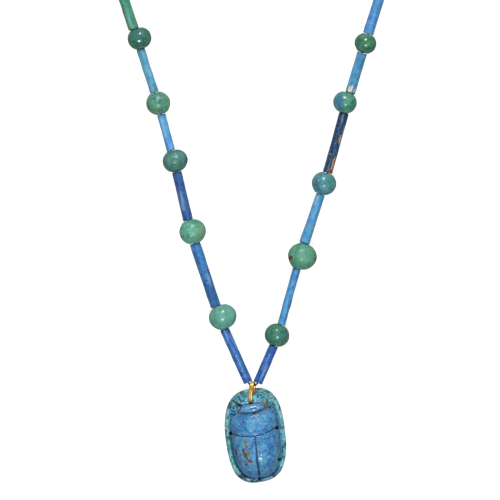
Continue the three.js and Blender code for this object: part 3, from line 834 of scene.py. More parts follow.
        for line, width, dirt_and_shade in (
            ([(2.2, 3.0), (2.9, 2.4), (4.1, 1.75)], 0.2, 0.7),
            ([(4.7, 5.6), (5.7, 5.45)], 0.2, 0.6),
            ([(3.7, -0.95), (5.2, -1.1), (6.6, -1.3)], 0.14, 0.6),
            ([(3.6, -3.4), (5.4, -3.6), (7.4, -3.85)], 0.14, 0.6),
            ([(3.9, -3.6), (2.6, -4.4), (2.2, -5.4), (3.2, -6.9), (4.4, -7.3)], 0.12, 0.45),
            ([(5.4, -2.6), (6.0, -3.6)], 0.14, 0.45),
            ([(5.1, -6.3), (4.2, -8.2), (2.6, -9.9)], 0.12, 0.35),
            ([(-2.8, 3.9), (-2.75, 4.9)], 0.16, 0.45),
            ([(-6.9, 1.3), (-8.0, 1.35)], 0.2, 0.8),
            ([(6.9, -1.3), (6.95, -3.6), (6.7, -5.6)], 0.14, 0.35),
        ):
            self.strokes.append(Stroke(line, (width, width * 0.7), 0.07, dirt_and_shade))

    def add_blots(self) -> None:
        """Lists the bare, rusty and stained spots."""
        bare, rust, dirt_and_shade = Layer.BARE, Layer.RUST, Layer.DIRT_AND_SHADE
        self.blots += [
            Blot([(-2.9, -0.9), (-2.75, -1.9), (-2.55, -2.6)], 0.42, bare, 0.8),
            Blot([(-3.6, -3.4), (-3.4, -5.0), (-2.5, -6.5), (-1.9, -6.7)], 0.42, rust, 0.95),
            Blot([(-2.5, -3.4), (-2.9, -4.5), (-3.4, -5.1)], 0.36, bare, 0.85),
            Blot([(-3.1, -5.6), (-3.0, -6.9), (-3.3, -7.4)], 0.33, bare, 0.7),
            Blot([(-3.5, -7.3), (-3.3, -7.5)], 0.32, rust, 0.9),
            Blot([(-5.7, -3.3), (-5.6, -4.4)], 0.3, rust, 1.0),
            Blot([(4.0, 9.9), (4.05, 9.0)], 0.2, bare, 1.0),
            Blot([(4.05, 9.0), (4.25, 7.4)], 0.36, bare, 0.8),
            Blot([(3.7, 8.9), (3.75, 7.0)], 0.14, bare, 1.1),
            Blot([(3.9, 7.0), (4.6, 7.0), (5.6, 6.85)], 0.15, bare, 1.1),
            Blot([(3.6, 7.0), (2.6, 6.45), (1.2, 6.05), (0.0, 5.9)], 0.12, bare, 0.9),
            Blot([(-3.9, 8.75), (-3.4, 8.4)], 0.42, rust, 1.25),
            Blot([(-3.9, 8.4), (-4.0, 7.7), (-3.9, 6.9)], 0.15, bare, 0.9),
            Blot([(-3.9, 7.9), (-4.0, 6.7)], 0.16, bare, 0.9),
            Blot([(0.7, 8.6), (2.0, 8.75), (3.3, 8.8)], 0.15, bare, 0.75),
            Blot([(-7.0, 0.1), (-7.05, -0.2)], 0.25, rust, 0.9),
            Blot([(6.75, 1.15), (6.7, 0.9)], 0.28, bare, 0.9),
            Blot([(4.4, 0.85), (5.6, 1.0)], 0.2, bare, 0.45),
            Blot([(5.5, -10.0), (3.4, -11.6)], 0.25, bare, 0.35),
            Blot([(-2.0, 9.9), (-2.6, 9.5)], 0.5, dirt_and_shade, 0.5),
            Blot([(2.3, 10.9), (2.7, 10.4)], 0.4, dirt_and_shade, 0.55),
            Blot([(-0.9, 11.4), (-1.4, 10.6)], 0.4, dirt_and_shade, 0.6),
            Blot([(1.1, 11.6), (1.9, 11.5)], 0.45, dirt_and_shade, 0.6),
        ]

    def block(self) -> bpy.types.Object:
        """Shapes a sphere into the amulet's whole form, cuts the hole and evens out its faces."""
        deselect()
        bpy.ops.mesh.primitive_uv_sphere_add(segments=420, ring_count=240, radius=1)
        obj = bpy.context.object
        obj.name = "scarab_carved"
        at = vertices_of(obj)
        polar = np.degrees(np.arccos(np.clip(at[:, 2], -1, 1)))
        angle = np.arctan2(at[:, 1], at[:, 0])
        top_share = np.clip(polar / 80, 0, 1)
        low_share = np.clip((180 - polar) / 80, 0, 1)
        reach = np.minimum(top_share, low_share)
        edge_x, edge_y = self.plate.point(angle)
        lump = 1 + 0.008 * soft_noise(np.column_stack([edge_x, edge_y, 0 * edge_x]), 3.2, 4)
        lump = lump + 0.018 * np.cos(2 * (angle - math.radians(50)))
        x, y = edge_x * reach * lump, edge_y * reach * lump
        top = self.height(x, y)
        side = np.clip((polar - 80) / 20, 0, 1)
        edge_top = self.plate_top - 0.55
        under = 0.3 * (1 - np.clip((1 - low_share) * 10 / 0.3, 0, 1))
        flank = edge_top + (0.3 - edge_top) * side
        z = np.where(polar < 80, top, np.where(polar <= 100, flank, under))
        set_vertices(obj, np.column_stack([x, y, z]))
        cutter = self.hole_cutter()
        apply_modifier(obj, "BOOLEAN", operation="DIFFERENCE", object=cutter, solver="EXACT")
        bpy.data.objects.remove(cutter)
        apply_modifier(obj, "REMESH", mode="VOXEL", voxel_size=self.voxel)
        apply_modifier(obj, "SMOOTH", factor=0.5, iterations=3)
        self.confirm_size(obj)
        return obj

    def confirm_size(self, obj: bpy.types.Object) -> None:
        """Stops the script if a cut or a remesh has lost part of the amulet."""
        at = vertices_of(obj)
        reach = at.max(axis=0) - at.min(axis=0)
        wanted = np.array([2 * self.plate.half_width, 2 * self.plate.half_length, self.back_height])
        if np.any(np.abs(reach - wanted) > 0.5):
            raise ValueError(f"the carved amulet measures {reach.round(2)}, not {wanted}")

    def hole_cutter(self) -> bpy.types.Object:
        """Joins the tools of the slanting hole: the wire with room round it, a bore and a mouth."""
        wire = merged_copy("gold_loop", "hole_room")
        wire.data.transform(Matrix.Rotation(-self.turn, 4, "Z"))
        edit_all(wire)
        bpy.ops.transform.shrink_fatten(value=self.wire_clearance)
        bpy.ops.object.mode_set(mode="OBJECT")
        tools = [
            self.rod("bore_room", self.seat.at(*self.bore_from), self.seat.at(*self.bore_to),
                     self.bore_radius, self.bore_radius),
            self.rod("mouth_room", Vector(self.mouth_from), Vector(self.mouth_to),
                     self.mouth_radius, self.mouth_foot),
        ]
        take(wire)
        for tool in tools:
            tool.select_set(True)
        bpy.ops.object.join()
        apply_modifier(wire, "REMESH", mode="VOXEL", voxel_size=self.voxel)
        return wire

    @staticmethod
    def rod(name: str, start: Vector, end: Vector, first: float, last: float) -> bpy.types.Object:
        """Makes a round rod between two points, which may taper."""
        deselect()
        bpy.ops.mesh.primitive_cone_add(
            vertices=24, radius1=first, radius2=last, depth=(end - start).length)
        obj = bpy.context.object
        obj.name = name
        turned = Vector((0, 0, 1)).rotation_difference(end - start).to_matrix().to_4x4()
        obj.data.transform(Matrix.Translation((start + end) / 2) @ turned)
        return obj

    def carve(self, obj: bpy.types.Object) -> None:
        """Cuts the lines, pits, leg pockets and tool marks into the skin, and paints its layers."""
        at = vertices_of(obj)
        normal = vertices_of(obj, "normal")
        x, y, z = at.T
        upper = smooth_step(0.05, 0.4, normal[:, 2]) * smooth_step(1.4, 1.8, z)
        depth = np.zeros(len(at))
        dirt_and_shade = np.zeros(len(at))
        ragged = 0.04 * soft_noise(at, 0.35, 1)
        for stroke in self.strokes:
            cut, dark = stroke.cut(x + ragged, y + ragged)
            depth = np.maximum(depth, cut * upper)
            dirt_and_shade = np.maximum(dirt_and_shade, dark * upper)
        roll = np.exp(-(x / 0.8) ** 2) * smooth_step(0.2, -1.0, y) * smooth_step(-11.6, -10, y)
        behind = y - self.thorax_rear(x)
        roll = np.maximum(roll, np.exp(-(behind / 0.7) ** 2)) * (self.table.inside(x, y) > 0.2)
        depth += 0.12 * roll * upper * (z > self.table_top)
        for pit_x, pit_y, radius, deep in self.pits:
            away = np.hypot(x - pit_x, y - pit_y)
            above = z > 1.2
            depth = np.maximum(depth, deep * np.clip(1 - (away / radius) ** 2, 0, 1) * above)
            dirt_and_shade = np.maximum(dirt_and_shade, smooth_step(radius * 1.25, radius * 0.7, away) * above)
        shallow = soft_noise(at, 0.5, 5)
        depth += 0.05 * smooth_step(0.55, 0.85, shallow) + 0.03 * soft_noise(at, 1.6, 2) * upper
        arc = smooth_step(6.4, 8.2, y) * smooth_step(4.6, 4.0, z) * upper
        depth += arc * (0.14 * soft_noise(at, 0.75, 18) + 0.09 * soft_noise(at, 0.38, 19))
        depth -= 0.05 * soft_noise(at, 3.5, 3) * (z > 0.4)
        moved = at - normal * depth[:, None] * smooth_step(0.02, 0.4, z)[:, None]
        flank, pocket_darkening = self.legs(at, normal)
        outward = normal * np.array([1, 1, 0])
        outward /= np.maximum(np.linalg.norm(outward, axis=1), 1e-6)[:, None]
        moved -= outward * flank[:, None]
        chip, chip_bare = self.chips(at)
        moved -= normal * chip[:, None]
        moved[:, 2] = np.maximum(moved[:, 2], 0.0)
        set_vertices(obj, moved)
        self.paint_layers(obj, at, np.maximum(dirt_and_shade, pocket_darkening), chip_bare)

    def legs(self, at: Array, normal: Array) -> tuple[Array, Array]:
        """Gives the depth of the leaning pockets that leave the legs standing, and a darkening that
        follows that depth.
        """
        x, y, z = at.T
        steep = smooth_step(0.85, 0.6, np.abs(normal[:, 2]))
        steep = steep * (np.abs(self.table.inside(x, y)) < 1.1)
        steep = steep * (x * normal[:, 0] + y * normal[:, 1] > 0) * (z > 1.95)
        rise = (z - self.pocket_low) / (self.pocket_high - self.pocket_low)
        depth = np.zeros(len(at))
        for place in self.leg_places:
            middle = place + self.pocket_lean * (np.clip(rise, 0, 1) - 1)
            across = np.abs(y - middle)
            wide = smooth_step(self.pocket_width / 2 + 0.1, self.pocket_width / 2 - 0.25, across)
            tall = smooth_step(-0.02, 0.12, rise) * smooth_step(1.02, 0.85, rise)
            depth = np.maximum(depth, self.pocket_depth * wide * tall * steep)
        return depth, 0.75 * depth / self.pocket_depth

    def chips(self, at: Array) -> tuple[Array, Array]:
        """Gives the depth of the chips along the rim and how bare they are."""
        x, y, z = at.T
        depth = np.zeros(len(at))
        bare = np.zeros(len(at))
        for chip_x, chip_y, chip_z, radius, deep in self.rim_chips:
            away = np.sqrt((x - chip_x) ** 2 + (y - chip_y) ** 2 + (z - chip_z) ** 2)
            away += 0.12 * soft_noise(at, 0.3, 7)
            depth = np.maximum(depth, deep * smooth_step(radius, radius * 0.45, away))
            bare = np.maximum(bare, 0.55 * smooth_step(radius, radius * 0.6, away))
        return depth * (z > 0.05), bare

    def paint_layers(self, obj: bpy.types.Object, at: Array, dirt_and_shade: Array, chip_bare: Array) -> None:
        """Stores the layers of colour that the glaze's material reads.

        Args:
            obj: The carved amulet.
            at: The places before the fine cuts.
            dirt_and_shade: How dark the cuts are painted, soiling and painted shade together.
            chip_bare: How bare the chips are.
        """
        x, y, z = at.T
        table_in = self.table.inside(x, y)
        moat_in = self.moat.inside(x, y)
        # the gutter between table and rim is darkened, most towards the lower left
        gutter = smooth_step(-0.1, 0.1, moat_in) * smooth_step(0.05, -0.1, table_in) * (z < 2.7)
        gutter = gutter * smooth_step(7.5, 5.0, y) * (0.75 + 0.25 * soft_noise(at, 1.1, 15))
        lower_left = smooth_step(0, 8, -x - 0.9 * y)
        dirt_and_shade = np.maximum(dirt_and_shade, gutter * (0.25 + 0.75 * lower_left) * (z > 1.0))
        # painted shade: the foot of the table's wall is darkened
        wall = smooth_step(0.25, 0.0, table_in) * (table_in > -0.2)
        wall = wall * smooth_step(3.4, 2.2, z) * (z > 1.5)
        dirt_and_shade = np.maximum(dirt_and_shade, 0.3 * wall * smooth_step(7.5, 5.0, y))
        head_in = self.head_inside(x, y)
        # the slit round the head is darkened a little and painted bare
        slit = smooth_step(0.05, -0.05, head_in) * smooth_step(-0.35, -0.2, head_in)
        slit = slit * (z > 2) * (z < 5.4) * (table_in > 0)
        dirt_and_shade = np.maximum(dirt_and_shade, 0.2 * slit)
        chip_bare = np.maximum(chip_bare, 0.75 * slit)
        # painted shadow: the loop's hole darkens round its mouth, under the wire
        mouth = np.hypot(x + 0.2, y - 8.95)
        dirt_and_shade = np.maximum(dirt_and_shade, 0.6 * smooth_step(0.8, 0.5, mouth) * (z < 4.6) * (z > 0.6))
        second = np.clip(smooth_step(-0.1, -0.5, table_in) + (z < 1.8), 0, 1)
        front = smooth_step(6.4, 8.2, y) * smooth_step(3.2, 0.4, table_in) * (z < 4.3)
        blotch = smooth_step(-0.35, 0.45, soft_noise(at, 0.8, 9))
        second = np.maximum(second, front * (0.35 + 0.6 * blotch))
        second *= 0.8 + 0.2 * blotch
        pale = 0.25 * smooth_step(0.1, 0.7, soft_noise(at, 0.7, 16)) * (z > 0.4)
        rim = smooth_step(-0.05, -0.35, table_in)
        cloudy = soft_noise(at, 1.3, 21)
        worn_off = 0.4 * rim * smooth_step(-8.0, -11.0, y)
        second *= 1 - worn_off - 0.45 * rim * smooth_step(0.0, 0.6, cloudy)
        stained = rim * 0.7 * smooth_step(0.0, 0.6, soft_noise(at, 0.9, 22))
        stained += rim * 0.6 * smooth_step(0.05, 0.5, soft_noise(at, 0.4, 25))
        foot, brow = smooth_step(-8.5, -11.0, y), smooth_step(4.0, 9.0, y)
        stained += rim * (0.25 * foot + 0.4 * brow * blotch)
        dirt_and_shade = np.maximum(dirt_and_shade, np.clip(stained, 0, 0.85) * (z > 0.3))
        dirt_and_shade = np.maximum(dirt_and_shade, 0.42 * smooth_step(0.2, 0.75, soft_noise(at, 0.5, 23)) * (z > 4))
        pale = np.maximum(pale, rim * smooth_step(0.0, -0.5, soft_noise(at, 0.9, 22)))
        matt = smooth_step(0.25, -0.35, x + 0.2) * smooth_step(-0.6, -2.0, y) * (z > 5)
        patchy = smooth_step(0.0, 0.6, soft_noise(at, 1.2, 24)) * 0.5
        matt = np.maximum(matt, patchy * smooth_step(1.2, 2.6, np.hypot(x - 1.1, (y + 7.4) / 2)))
        bleached = 0.5 * front * smooth_step(0.3, 0.8, soft_noise(at, 0.5, 17))
        mottle = smooth_step(0.25, 0.75, soft_noise(at, 0.55, 11)) * front
        layers = {
            Layer.SECOND: second, Layer.BARE: chip_bare, Layer.RUST: np.zeros(len(at)),
            Layer.DIRT_AND_SHADE: np.maximum(dirt_and_shade, 0.6 * mottle), Layer.MATT: np.clip(matt, 0, 1),
            Layer.PALE: np.maximum(pale, bleached),
        }
        for blot in self.blots:
            away, _ = line_distance(x, y, blot.line)
            ragged = 0.75 * min(1.0, blot.reach / 0.4) ** 2
            away = away / blot.reach + ragged * soft_noise(at, 0.36, 13)
            mark = np.clip(0.95 * blot.strength * smooth_step(1.6, 0.3, away), 0, 1) * (z > 2)
            layers[blot.layer] = np.maximum(layers[blot.layer], mark)
        paint(obj, layers)

    def build(self, material: bpy.types.Material) -> bpy.types.Object:
        """Builds and dresses the amulet.

        Args:
            material: Its glaze.

        Returns:
            The finished piece.
        """
        self.add_lines()
        self.add_blots()
        obj = self.block()
        self.carve(obj)
        apply_modifier(obj, "SMOOTH", factor=0.25, iterations=1)
        obj.data.transform(Matrix.Scale(MM, 4) @ Matrix.Rotation(self.turn, 4, "Z"))
        return finish_piece(obj, material, ["scarab_amulet"])


# ------------------------------------------------------------------------------ the beads


@dataclass(frozen=True)
class Course:
    """The straight run of a tube bead: its ends' centres and its radius there, in millimetres."""

    start: Vector
    end: Vector
    start_radius: float
    end_radius: float

    @property
    def along(self) -> Vector:
        """The direction from start to end."""
        return (self.end - self.start).normalized()


def read_course(node: str, nearest: Vector) -> Course:
    """Measures a packed tube.

    Args:
        node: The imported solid.
        nearest: A point that lies nearer to the tube's start than to its end.

    Returns:
        The tube's course.
    """
    at = vertices_of(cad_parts[node]) / MM
    middle = (at.max(axis=0) + at.min(axis=0)) / 2
    axis = np.linalg.svd(at - at.mean(axis=0), full_matrices=False)[2][0]
    run = (at - middle) @ axis
    ends = [middle + axis * run.min(), middle + axis * run.max()]
    across = np.linalg.norm(at - middle - np.outer(run, axis), axis=1)
    radii = [across[run < run.min() + 0.1].max(), across[run > run.max() - 0.1].max()]
    if (Vector(ends[0]) - nearest).length > (Vector(ends[1]) - nearest).length:
        ends.reverse()
        radii.reverse()
    return Course(Vector(ends[0]), Vector(ends[1]), radii[0], radii[1])


def basis_along(along: Vector, middle: Vector) -> Matrix:
    """Gives the placement whose Z axis runs along a bead and whose Y axis points most upwards.

    Args:
        along: The bead's direction.
        middle: Its middle.

    Returns:
        A matrix from the bead's own axes to the string's.
    """
    up = (Vector((0, 0, 1)) - along * along.z).normalized()
    side = up.cross(along)
    placed = Matrix((side, up, along)).transposed().to_4x4()
    placed.translation = middle
    return placed


@dataclass(frozen=True)
class Mark:
    """A spot on a tube bead.

    Its middle is at a share of the length, counted from the amulet, and at an angle in degrees from
    the top towards +X.
    """

    share: float
    around: float
    length: float
    width: float
    layer: Layer
    strength: float = 1.0
    sunk: float = 0.0


@dataclass(frozen=True)
class Spot:
    """A spot on a round bead's top: its middle and half sizes as shares of the bead's radius."""

    east: float
    north: float
    half_east: float
    half_north: float
    layer: Layer
    strength: float = 1.0


@dataclass(frozen=True)
class TubeBead:
    """One tube bead."""

    node: str
    course: Course
    glaze: Glaze
    marks: tuple[Mark, ...]
    seed: int
    grow_start: float = 0.47
    grow_end: float = 0.47
    bore: float = 0.62
    sides: int = 36
    step: float = 0.26

    def section(self, length: float) -> Array:
        """Gives the wall's closed section, from the start's bore round the outside and back."""
        half = length / 2
        count = max(12, int(length / self.step))
        outer = [(1.0, h) for h in np.linspace(-half + 0.2, half - 0.2, count)]
        lip = [(0.985, half - 0.09), (0.93, half - 0.02), (0.8, half)]
        wall = [(0.0, half - 0.06), (-0.02, half - 0.4)]
        inner = [*wall, (-0.02, 0.0), *((share, -height) for share, height in reversed(wall))]
        foot = [(0.8, -half), (0.93, -half + 0.02), (0.985, -half + 0.09)]
        rows = np.array(outer + lip + inner + foot)
        first, last = self.course.start_radius, self.course.end_radius
        outside = first + (last - first) * (rows[:, 1] / length + 0.5)
        rows[:, 0] = self.bore + (outside - self.bore) * rows[:, 0]
        return rows

    def build(self, material: bpy.types.Material) -> bpy.types.Object:
        """Builds and dresses the bead.

        Args:
            material: Its glaze.

        Returns:
            The finished piece.
        """
        along = self.course.along
        start = self.course.start - along * self.grow_start
        end = self.course.end + along * self.grow_end
        length = (end - start).length
        obj = spun(self.node + "_glazed", self.section(length), self.sides)
        at = vertices_of(obj)
        x, y, z = at.T
        radius = np.hypot(x, y)
        out = smooth_step(self.bore + 0.05, self.bore + 0.3, radius)
        unit = np.column_stack([x, y, 0 * z]) / np.maximum(radius, 1e-6)[:, None]
        seat = at + self.seed * 31.7
        swell = 0.055 * soft_noise(seat, 3.0, 1) + 0.03 * soft_noise(seat, 1.1, 2)
        pit = 0.05 * smooth_step(0.5, 0.8, soft_noise(seat, 0.42, 3))
        moved = at + unit * ((swell - pit) * out)[:, None]
        near_end = smooth_step(length / 2 - 0.7, length / 2, np.abs(z))
        turned = np.column_stack([unit[:, 0], unit[:, 1], np.sign(z) * 3.0])
        ragged = soft_noise(turned * 0.9 + self.seed, 0.55, 4)
        nick = smooth_step(0.2, 0.8, ragged) * near_end
        moved[:, 2] -= np.sign(z) * 0.14 * nick * out
        moved -= unit * (0.12 * nick * out)[:, None]
        angle = np.degrees(np.arctan2(x * self.east_sign(), y))
        layers = {layer: np.zeros(len(at)) for layer in Layer}
        # painted shadow darkens both ends, where the tube meets its round beads
        end_shadow = smooth_step(length / 2 - 0.35, length / 2 - 0.02, np.abs(z))
        # painted shade darkens the bore's mouth
        hole = smooth_step(self.bore + 0.12, self.bore + 0.02, radius)
        streak = soft_noise(seat * np.array([1.0, 1.0, 0.16]), 0.55, 8)
        layers[Layer.PALE] = 0.7 * smooth_step(0.25, 0.75, streak) * out
        dark_streak = 0.4 * smooth_step(-0.3, -0.8, streak) * out
        layers[Layer.DIRT_AND_SHADE] = np.maximum.reduce([0.85 * end_shadow, 0.8 * hole, 6 * pit, dark_streak])
        layers[Layer.BARE] = 0.3 * nick
        sunk = np.zeros(len(at))
        for mark in self.marks:
            run = (z / length + 0.5 - mark.share) * length / (mark.length / 2)
            turn = (angle - mark.around + 180) % 360 - 180
            across = np.radians(turn) * self.course.start_radius / (mark.width / 2)
            away = np.hypot(run, across) + 0.4 * soft_noise(seat, 0.5, 6)
            value = mark.strength * smooth_step(1.15, 0.6, away) * out
            layers[mark.layer] = np.maximum(layers[mark.layer], value)
            sunk = np.maximum(sunk, mark.sunk * smooth_step(1.05, 0.85, away) * out)
        moved -= unit * sunk[:, None]
        set_vertices(obj, moved)
        paint(obj, layers)
        obj.data.transform(Matrix.Scale(MM, 4) @ basis_along(along, (start + end) / 2))
        return finish_piece(obj, material, [self.node])

    def east_sign(self) -> float:
        """Gives 1 where the bead's own X axis points towards +X, and else -1."""
        return 1.0 if basis_along(self.course.along, Vector()).col[0].x > 0 else -1.0


@dataclass(frozen=True)
class RoundBead:
    """One round bead between two tubes."""

    node: str
    entry: Vector
    exit: Vector
    glaze: Glaze
    spots: tuple[Spot, ...]
    seed: int
    bore: float = 0.62
    seat_radius: float = 1.3
    sides: int = 56

    def section(self, half_wide: float, half_long: float) -> Array:
        """Gives the ball's closed section, from lip to lip and back through the bore."""
        start = math.asin(min(0.9, (self.bore + 0.12) / half_wide))
        outer = [(half_wide * math.sin(t), -half_long * math.cos(t))
                 for t in np.linspace(start, math.pi - start, 40)]
        lip = half_long * math.cos(start)
        inner = [(self.bore, h) for h in np.linspace(lip - 0.12, -lip + 0.12, 7)]
        return np.array(outer + inner)

    def build(self, material: bpy.types.Material) -> bpy.types.Object:
        """Builds and dresses the bead.

        Args:
            material: Its glaze.

        Returns:
            The finished piece.
        """
        along = (self.exit - self.entry).normalized()
        placed = basis_along(along, Vector())
        solid = vertices_of(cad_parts[self.node]) / MM @ np.array(placed.to_3x3())
        low, high = solid.min(axis=0), solid.max(axis=0)
        middle = (low + high) / 2
        half_wide = float(np.hypot(solid[:, 0] - middle[0], solid[:, 1] - middle[1]).max())
        half_long = (high[2] - low[2]) / 2 / math.sqrt(1 - (self.bore / half_wide) ** 2)
        bore_at = np.array(placed.to_3x3()).T @ np.array((self.entry + self.exit) / 2) - middle
        obj = spun(self.node + "_glazed", self.section(half_wide, half_long), self.sides)
        apply_modifier(obj, "SUBSURF", levels=1, render_levels=1)
        at = vertices_of(obj)
        radius = np.hypot(at[:, 0], at[:, 1])
        inner = smooth_step(half_wide * 0.55, self.bore + 0.1, radius)
        out = 1 - smooth_step(self.bore + 0.25, self.bore + 0.02, radius)
        unit = at / np.maximum(np.linalg.norm(at, axis=1), 1e-6)[:, None]
        seat = at + self.seed * 23.9
        swell = 0.1 * soft_noise(seat, 4.0, 1) + 0.045 * soft_noise(seat, 1.7, 2)
        pit_noise = soft_noise(seat, 0.5, 3)
        pit = smooth_step(0.55, 0.85, pit_noise)
        worn = 0.07 * smooth_step(0.3, 0.8, soft_noise(seat, 1.3, 5))
        moved = at + unit * ((swell - 0.07 * pit - worn) * out)[:, None]
        seat_height = half_long * math.sqrt(1 - (self.seat_radius / half_wide) ** 2)
        moved[:, 2] = np.clip(moved[:, 2], -seat_height, seat_height)
        moved[:, 0] += bore_at[0] * inner
        moved[:, 1] += bore_at[1] * inner
        set_vertices(obj, moved)
        obj.data.transform(placed @ Matrix.Translation(middle))
        rest = vertices_of(obj)
        rest[:, 2] = np.maximum(rest[:, 2], 0.0)
        set_vertices(obj, rest)
        layers = {layer: np.zeros(len(at)) for layer in Layer}
        layers[Layer.PALE] = 0.35 * smooth_step(0.2, 0.8, soft_noise(seat, 1.0, 8)) * out
        # painted shadow: a dark ring round each seat, where a tube meets the bead
        mouth = smooth_step(self.seat_radius + 0.45, self.seat_radius, radius)
        layers[Layer.DIRT_AND_SHADE] = np.maximum(0.7 * mouth, 0.45 * pit)
        rest = vertices_of(obj) - np.array(placed @ Vector(middle))
        east, north, up = (rest / half_wide).T
        for spot in self.spots:
            away = np.hypot(
                (east - spot.east) / spot.half_east, (north - spot.north) / spot.half_north)
            away += 0.45 * soft_noise(seat, 0.7, 6) + 0.2 * soft_noise(seat, 0.3, 7)
            far, near = (1.55, 0.25) if spot.layer is Layer.SECOND else (1.3, 0.6)
            value = spot.strength * smooth_step(far, near, away) * (up > -0.3) * out
            layers[spot.layer] = np.maximum(layers[spot.layer], value)
        paint(obj, layers)
        obj.data.transform(Matrix.Scale(MM, 4))
        return finish_piece(obj, material, [self.node])


SECOND, BARE, RUST, DIRT_AND_SHADE, PALE = Layer.SECOND, Layer.BARE, Layer.RUST, Layer.DIRT_AND_SHADE, Layer.PALE

# Each strand from the amulet outwards: the finishes and marks of its round beads and of its tubes.
LEFT_BALLS = (
    (Glaze("sea_green", "#5fa592", "#6db5a4", over="#4c8f77", gloss=0.24, specks=0.12,
           crazing=0.05, cloud=300),
     (Spot(-0.55, -0.1, 0.3, 0.5, SECOND, 0.7), Spot(-0.5, -0.3, 0.1, 0.1, RUST, 0.25))),
    (Glaze("pale_green", "#529c82", "#66b298", over="#8aa06a", gloss=0.34, specks=0.15,
           crazing=0.05, cloud=300),
     (Spot(0.62, 0.1, 0.2, 0.5, SECOND, 0.75), Spot(0.72, -0.1, 0.1, 0.16, BARE, 0.5),
      Spot(-0.78, -0.45, 0.16, 0.22, RUST, 0.5))),
    (Glaze("moss_green", "#407c6b", "#468a7b", over="#5a9d98", gloss=0.36, specks=0.3,
           crazing=0.08, cloud=420),
     (Spot(0.1, 0.35, 0.35, 0.3, SECOND, 0.7), Spot(0.92, 0.1, 0.1, 0.25, DIRT_AND_SHADE, 0.5),
      Spot(0.5, -0.75, 0.5, 0.12, DIRT_AND_SHADE, 0.5))),
    (Glaze("leaf_green", "#4e9073", "#62a77c", over="#4b93a4", gloss=0.33, specks=0.3,
           crazing=0.08, cloud=460),
     (Spot(-0.2, 0.3, 0.55, 0.45, SECOND, 0.55), Spot(-0.32, 0.36, 0.14, 0.2, DIRT_AND_SHADE, 0.55),
      Spot(0.12, 0.2, 0.13, 0.22, DIRT_AND_SHADE, 0.5))),
    (Glaze("dark_green", "#2f6e5a", "#3c7d63", over="#3f6f92", deep="#12302f", gloss=0.16,
           specks=0.45, crazing=0.1, cloud=600),
     (Spot(-0.05, 0.15, 0.42, 0.35, SECOND, 0.6), Spot(-0.65, 0.2, 0.14, 0.3, RUST, 0.25))),
)
RIGHT_BALLS = (
    (Glaze("dark_sea_green", "#35755e", "#468a6b", over="#3f7da0", deep="#153a35", gloss=0.2,
           specks=0.4, crazing=0.1, cloud=620),
     (Spot(0.25, 0.0, 0.25, 0.3, SECOND, 0.6), Spot(0.65, 0.1, 0.16, 0.2, SECOND, 0.6))),
    (Glaze("light_green", "#4e977a", "#5ca688", over="#7fa97a", rust="#7c2f1e", gloss=0.4,
           specks=0.2, crazing=0.06, cloud=360),
     (Spot(-0.78, -0.08, 0.13, 0.13, RUST, 1.0), Spot(0.96, -0.25, 0.1, 0.2, RUST, 1.0),
      Spot(0.1, -0.35, 0.3, 0.2, SECOND, 0.5), Spot(-0.3, -0.6, 0.1, 0.1, RUST, 0.4))),
    (Glaze("teal", "#3f8699", "#4f9b9f", body="#c9c48a", over="#438b70", deep="#1c3f66",
           gloss=0.26, specks=0.4, crazing=0.12, cloud=480),
     (Spot(0.7, 0.0, 0.35, 0.85, SECOND, 0.85), Spot(-0.45, 0.25, 0.1, 0.07, BARE, 0.7),
      Spot(-0.6, 0.0, 0.3, 0.45, DIRT_AND_SHADE, 0.35), Spot(-0.45, -0.4, 0.12, 0.12, DIRT_AND_SHADE, 0.6))),
    (Glaze("blue_and_green", "#468a72", "#58a084", over="#3c72a6", deep="#1d3f5e", gloss=0.22,
           specks=0.4, crazing=0.08, cloud=560),
     (Spot(-0.55, 0.15, 0.42, 0.8, SECOND, 0.85), Spot(0.6, 0.0, 0.14, 0.14, DIRT_AND_SHADE, 0.5),
      Spot(0.75, 0.1, 0.08, 0.12, DIRT_AND_SHADE, 0.6))),
    (Glaze("bottle_green", "#2f7250", "#418a5c", over="#2f6560", deep="#123a2a", gloss=0.22,
           specks=0.6, crazing=0.08, cloud=560),
     (Spot(-0.5, 0.1, 0.4, 0.6, SECOND, 0.6),)),
)
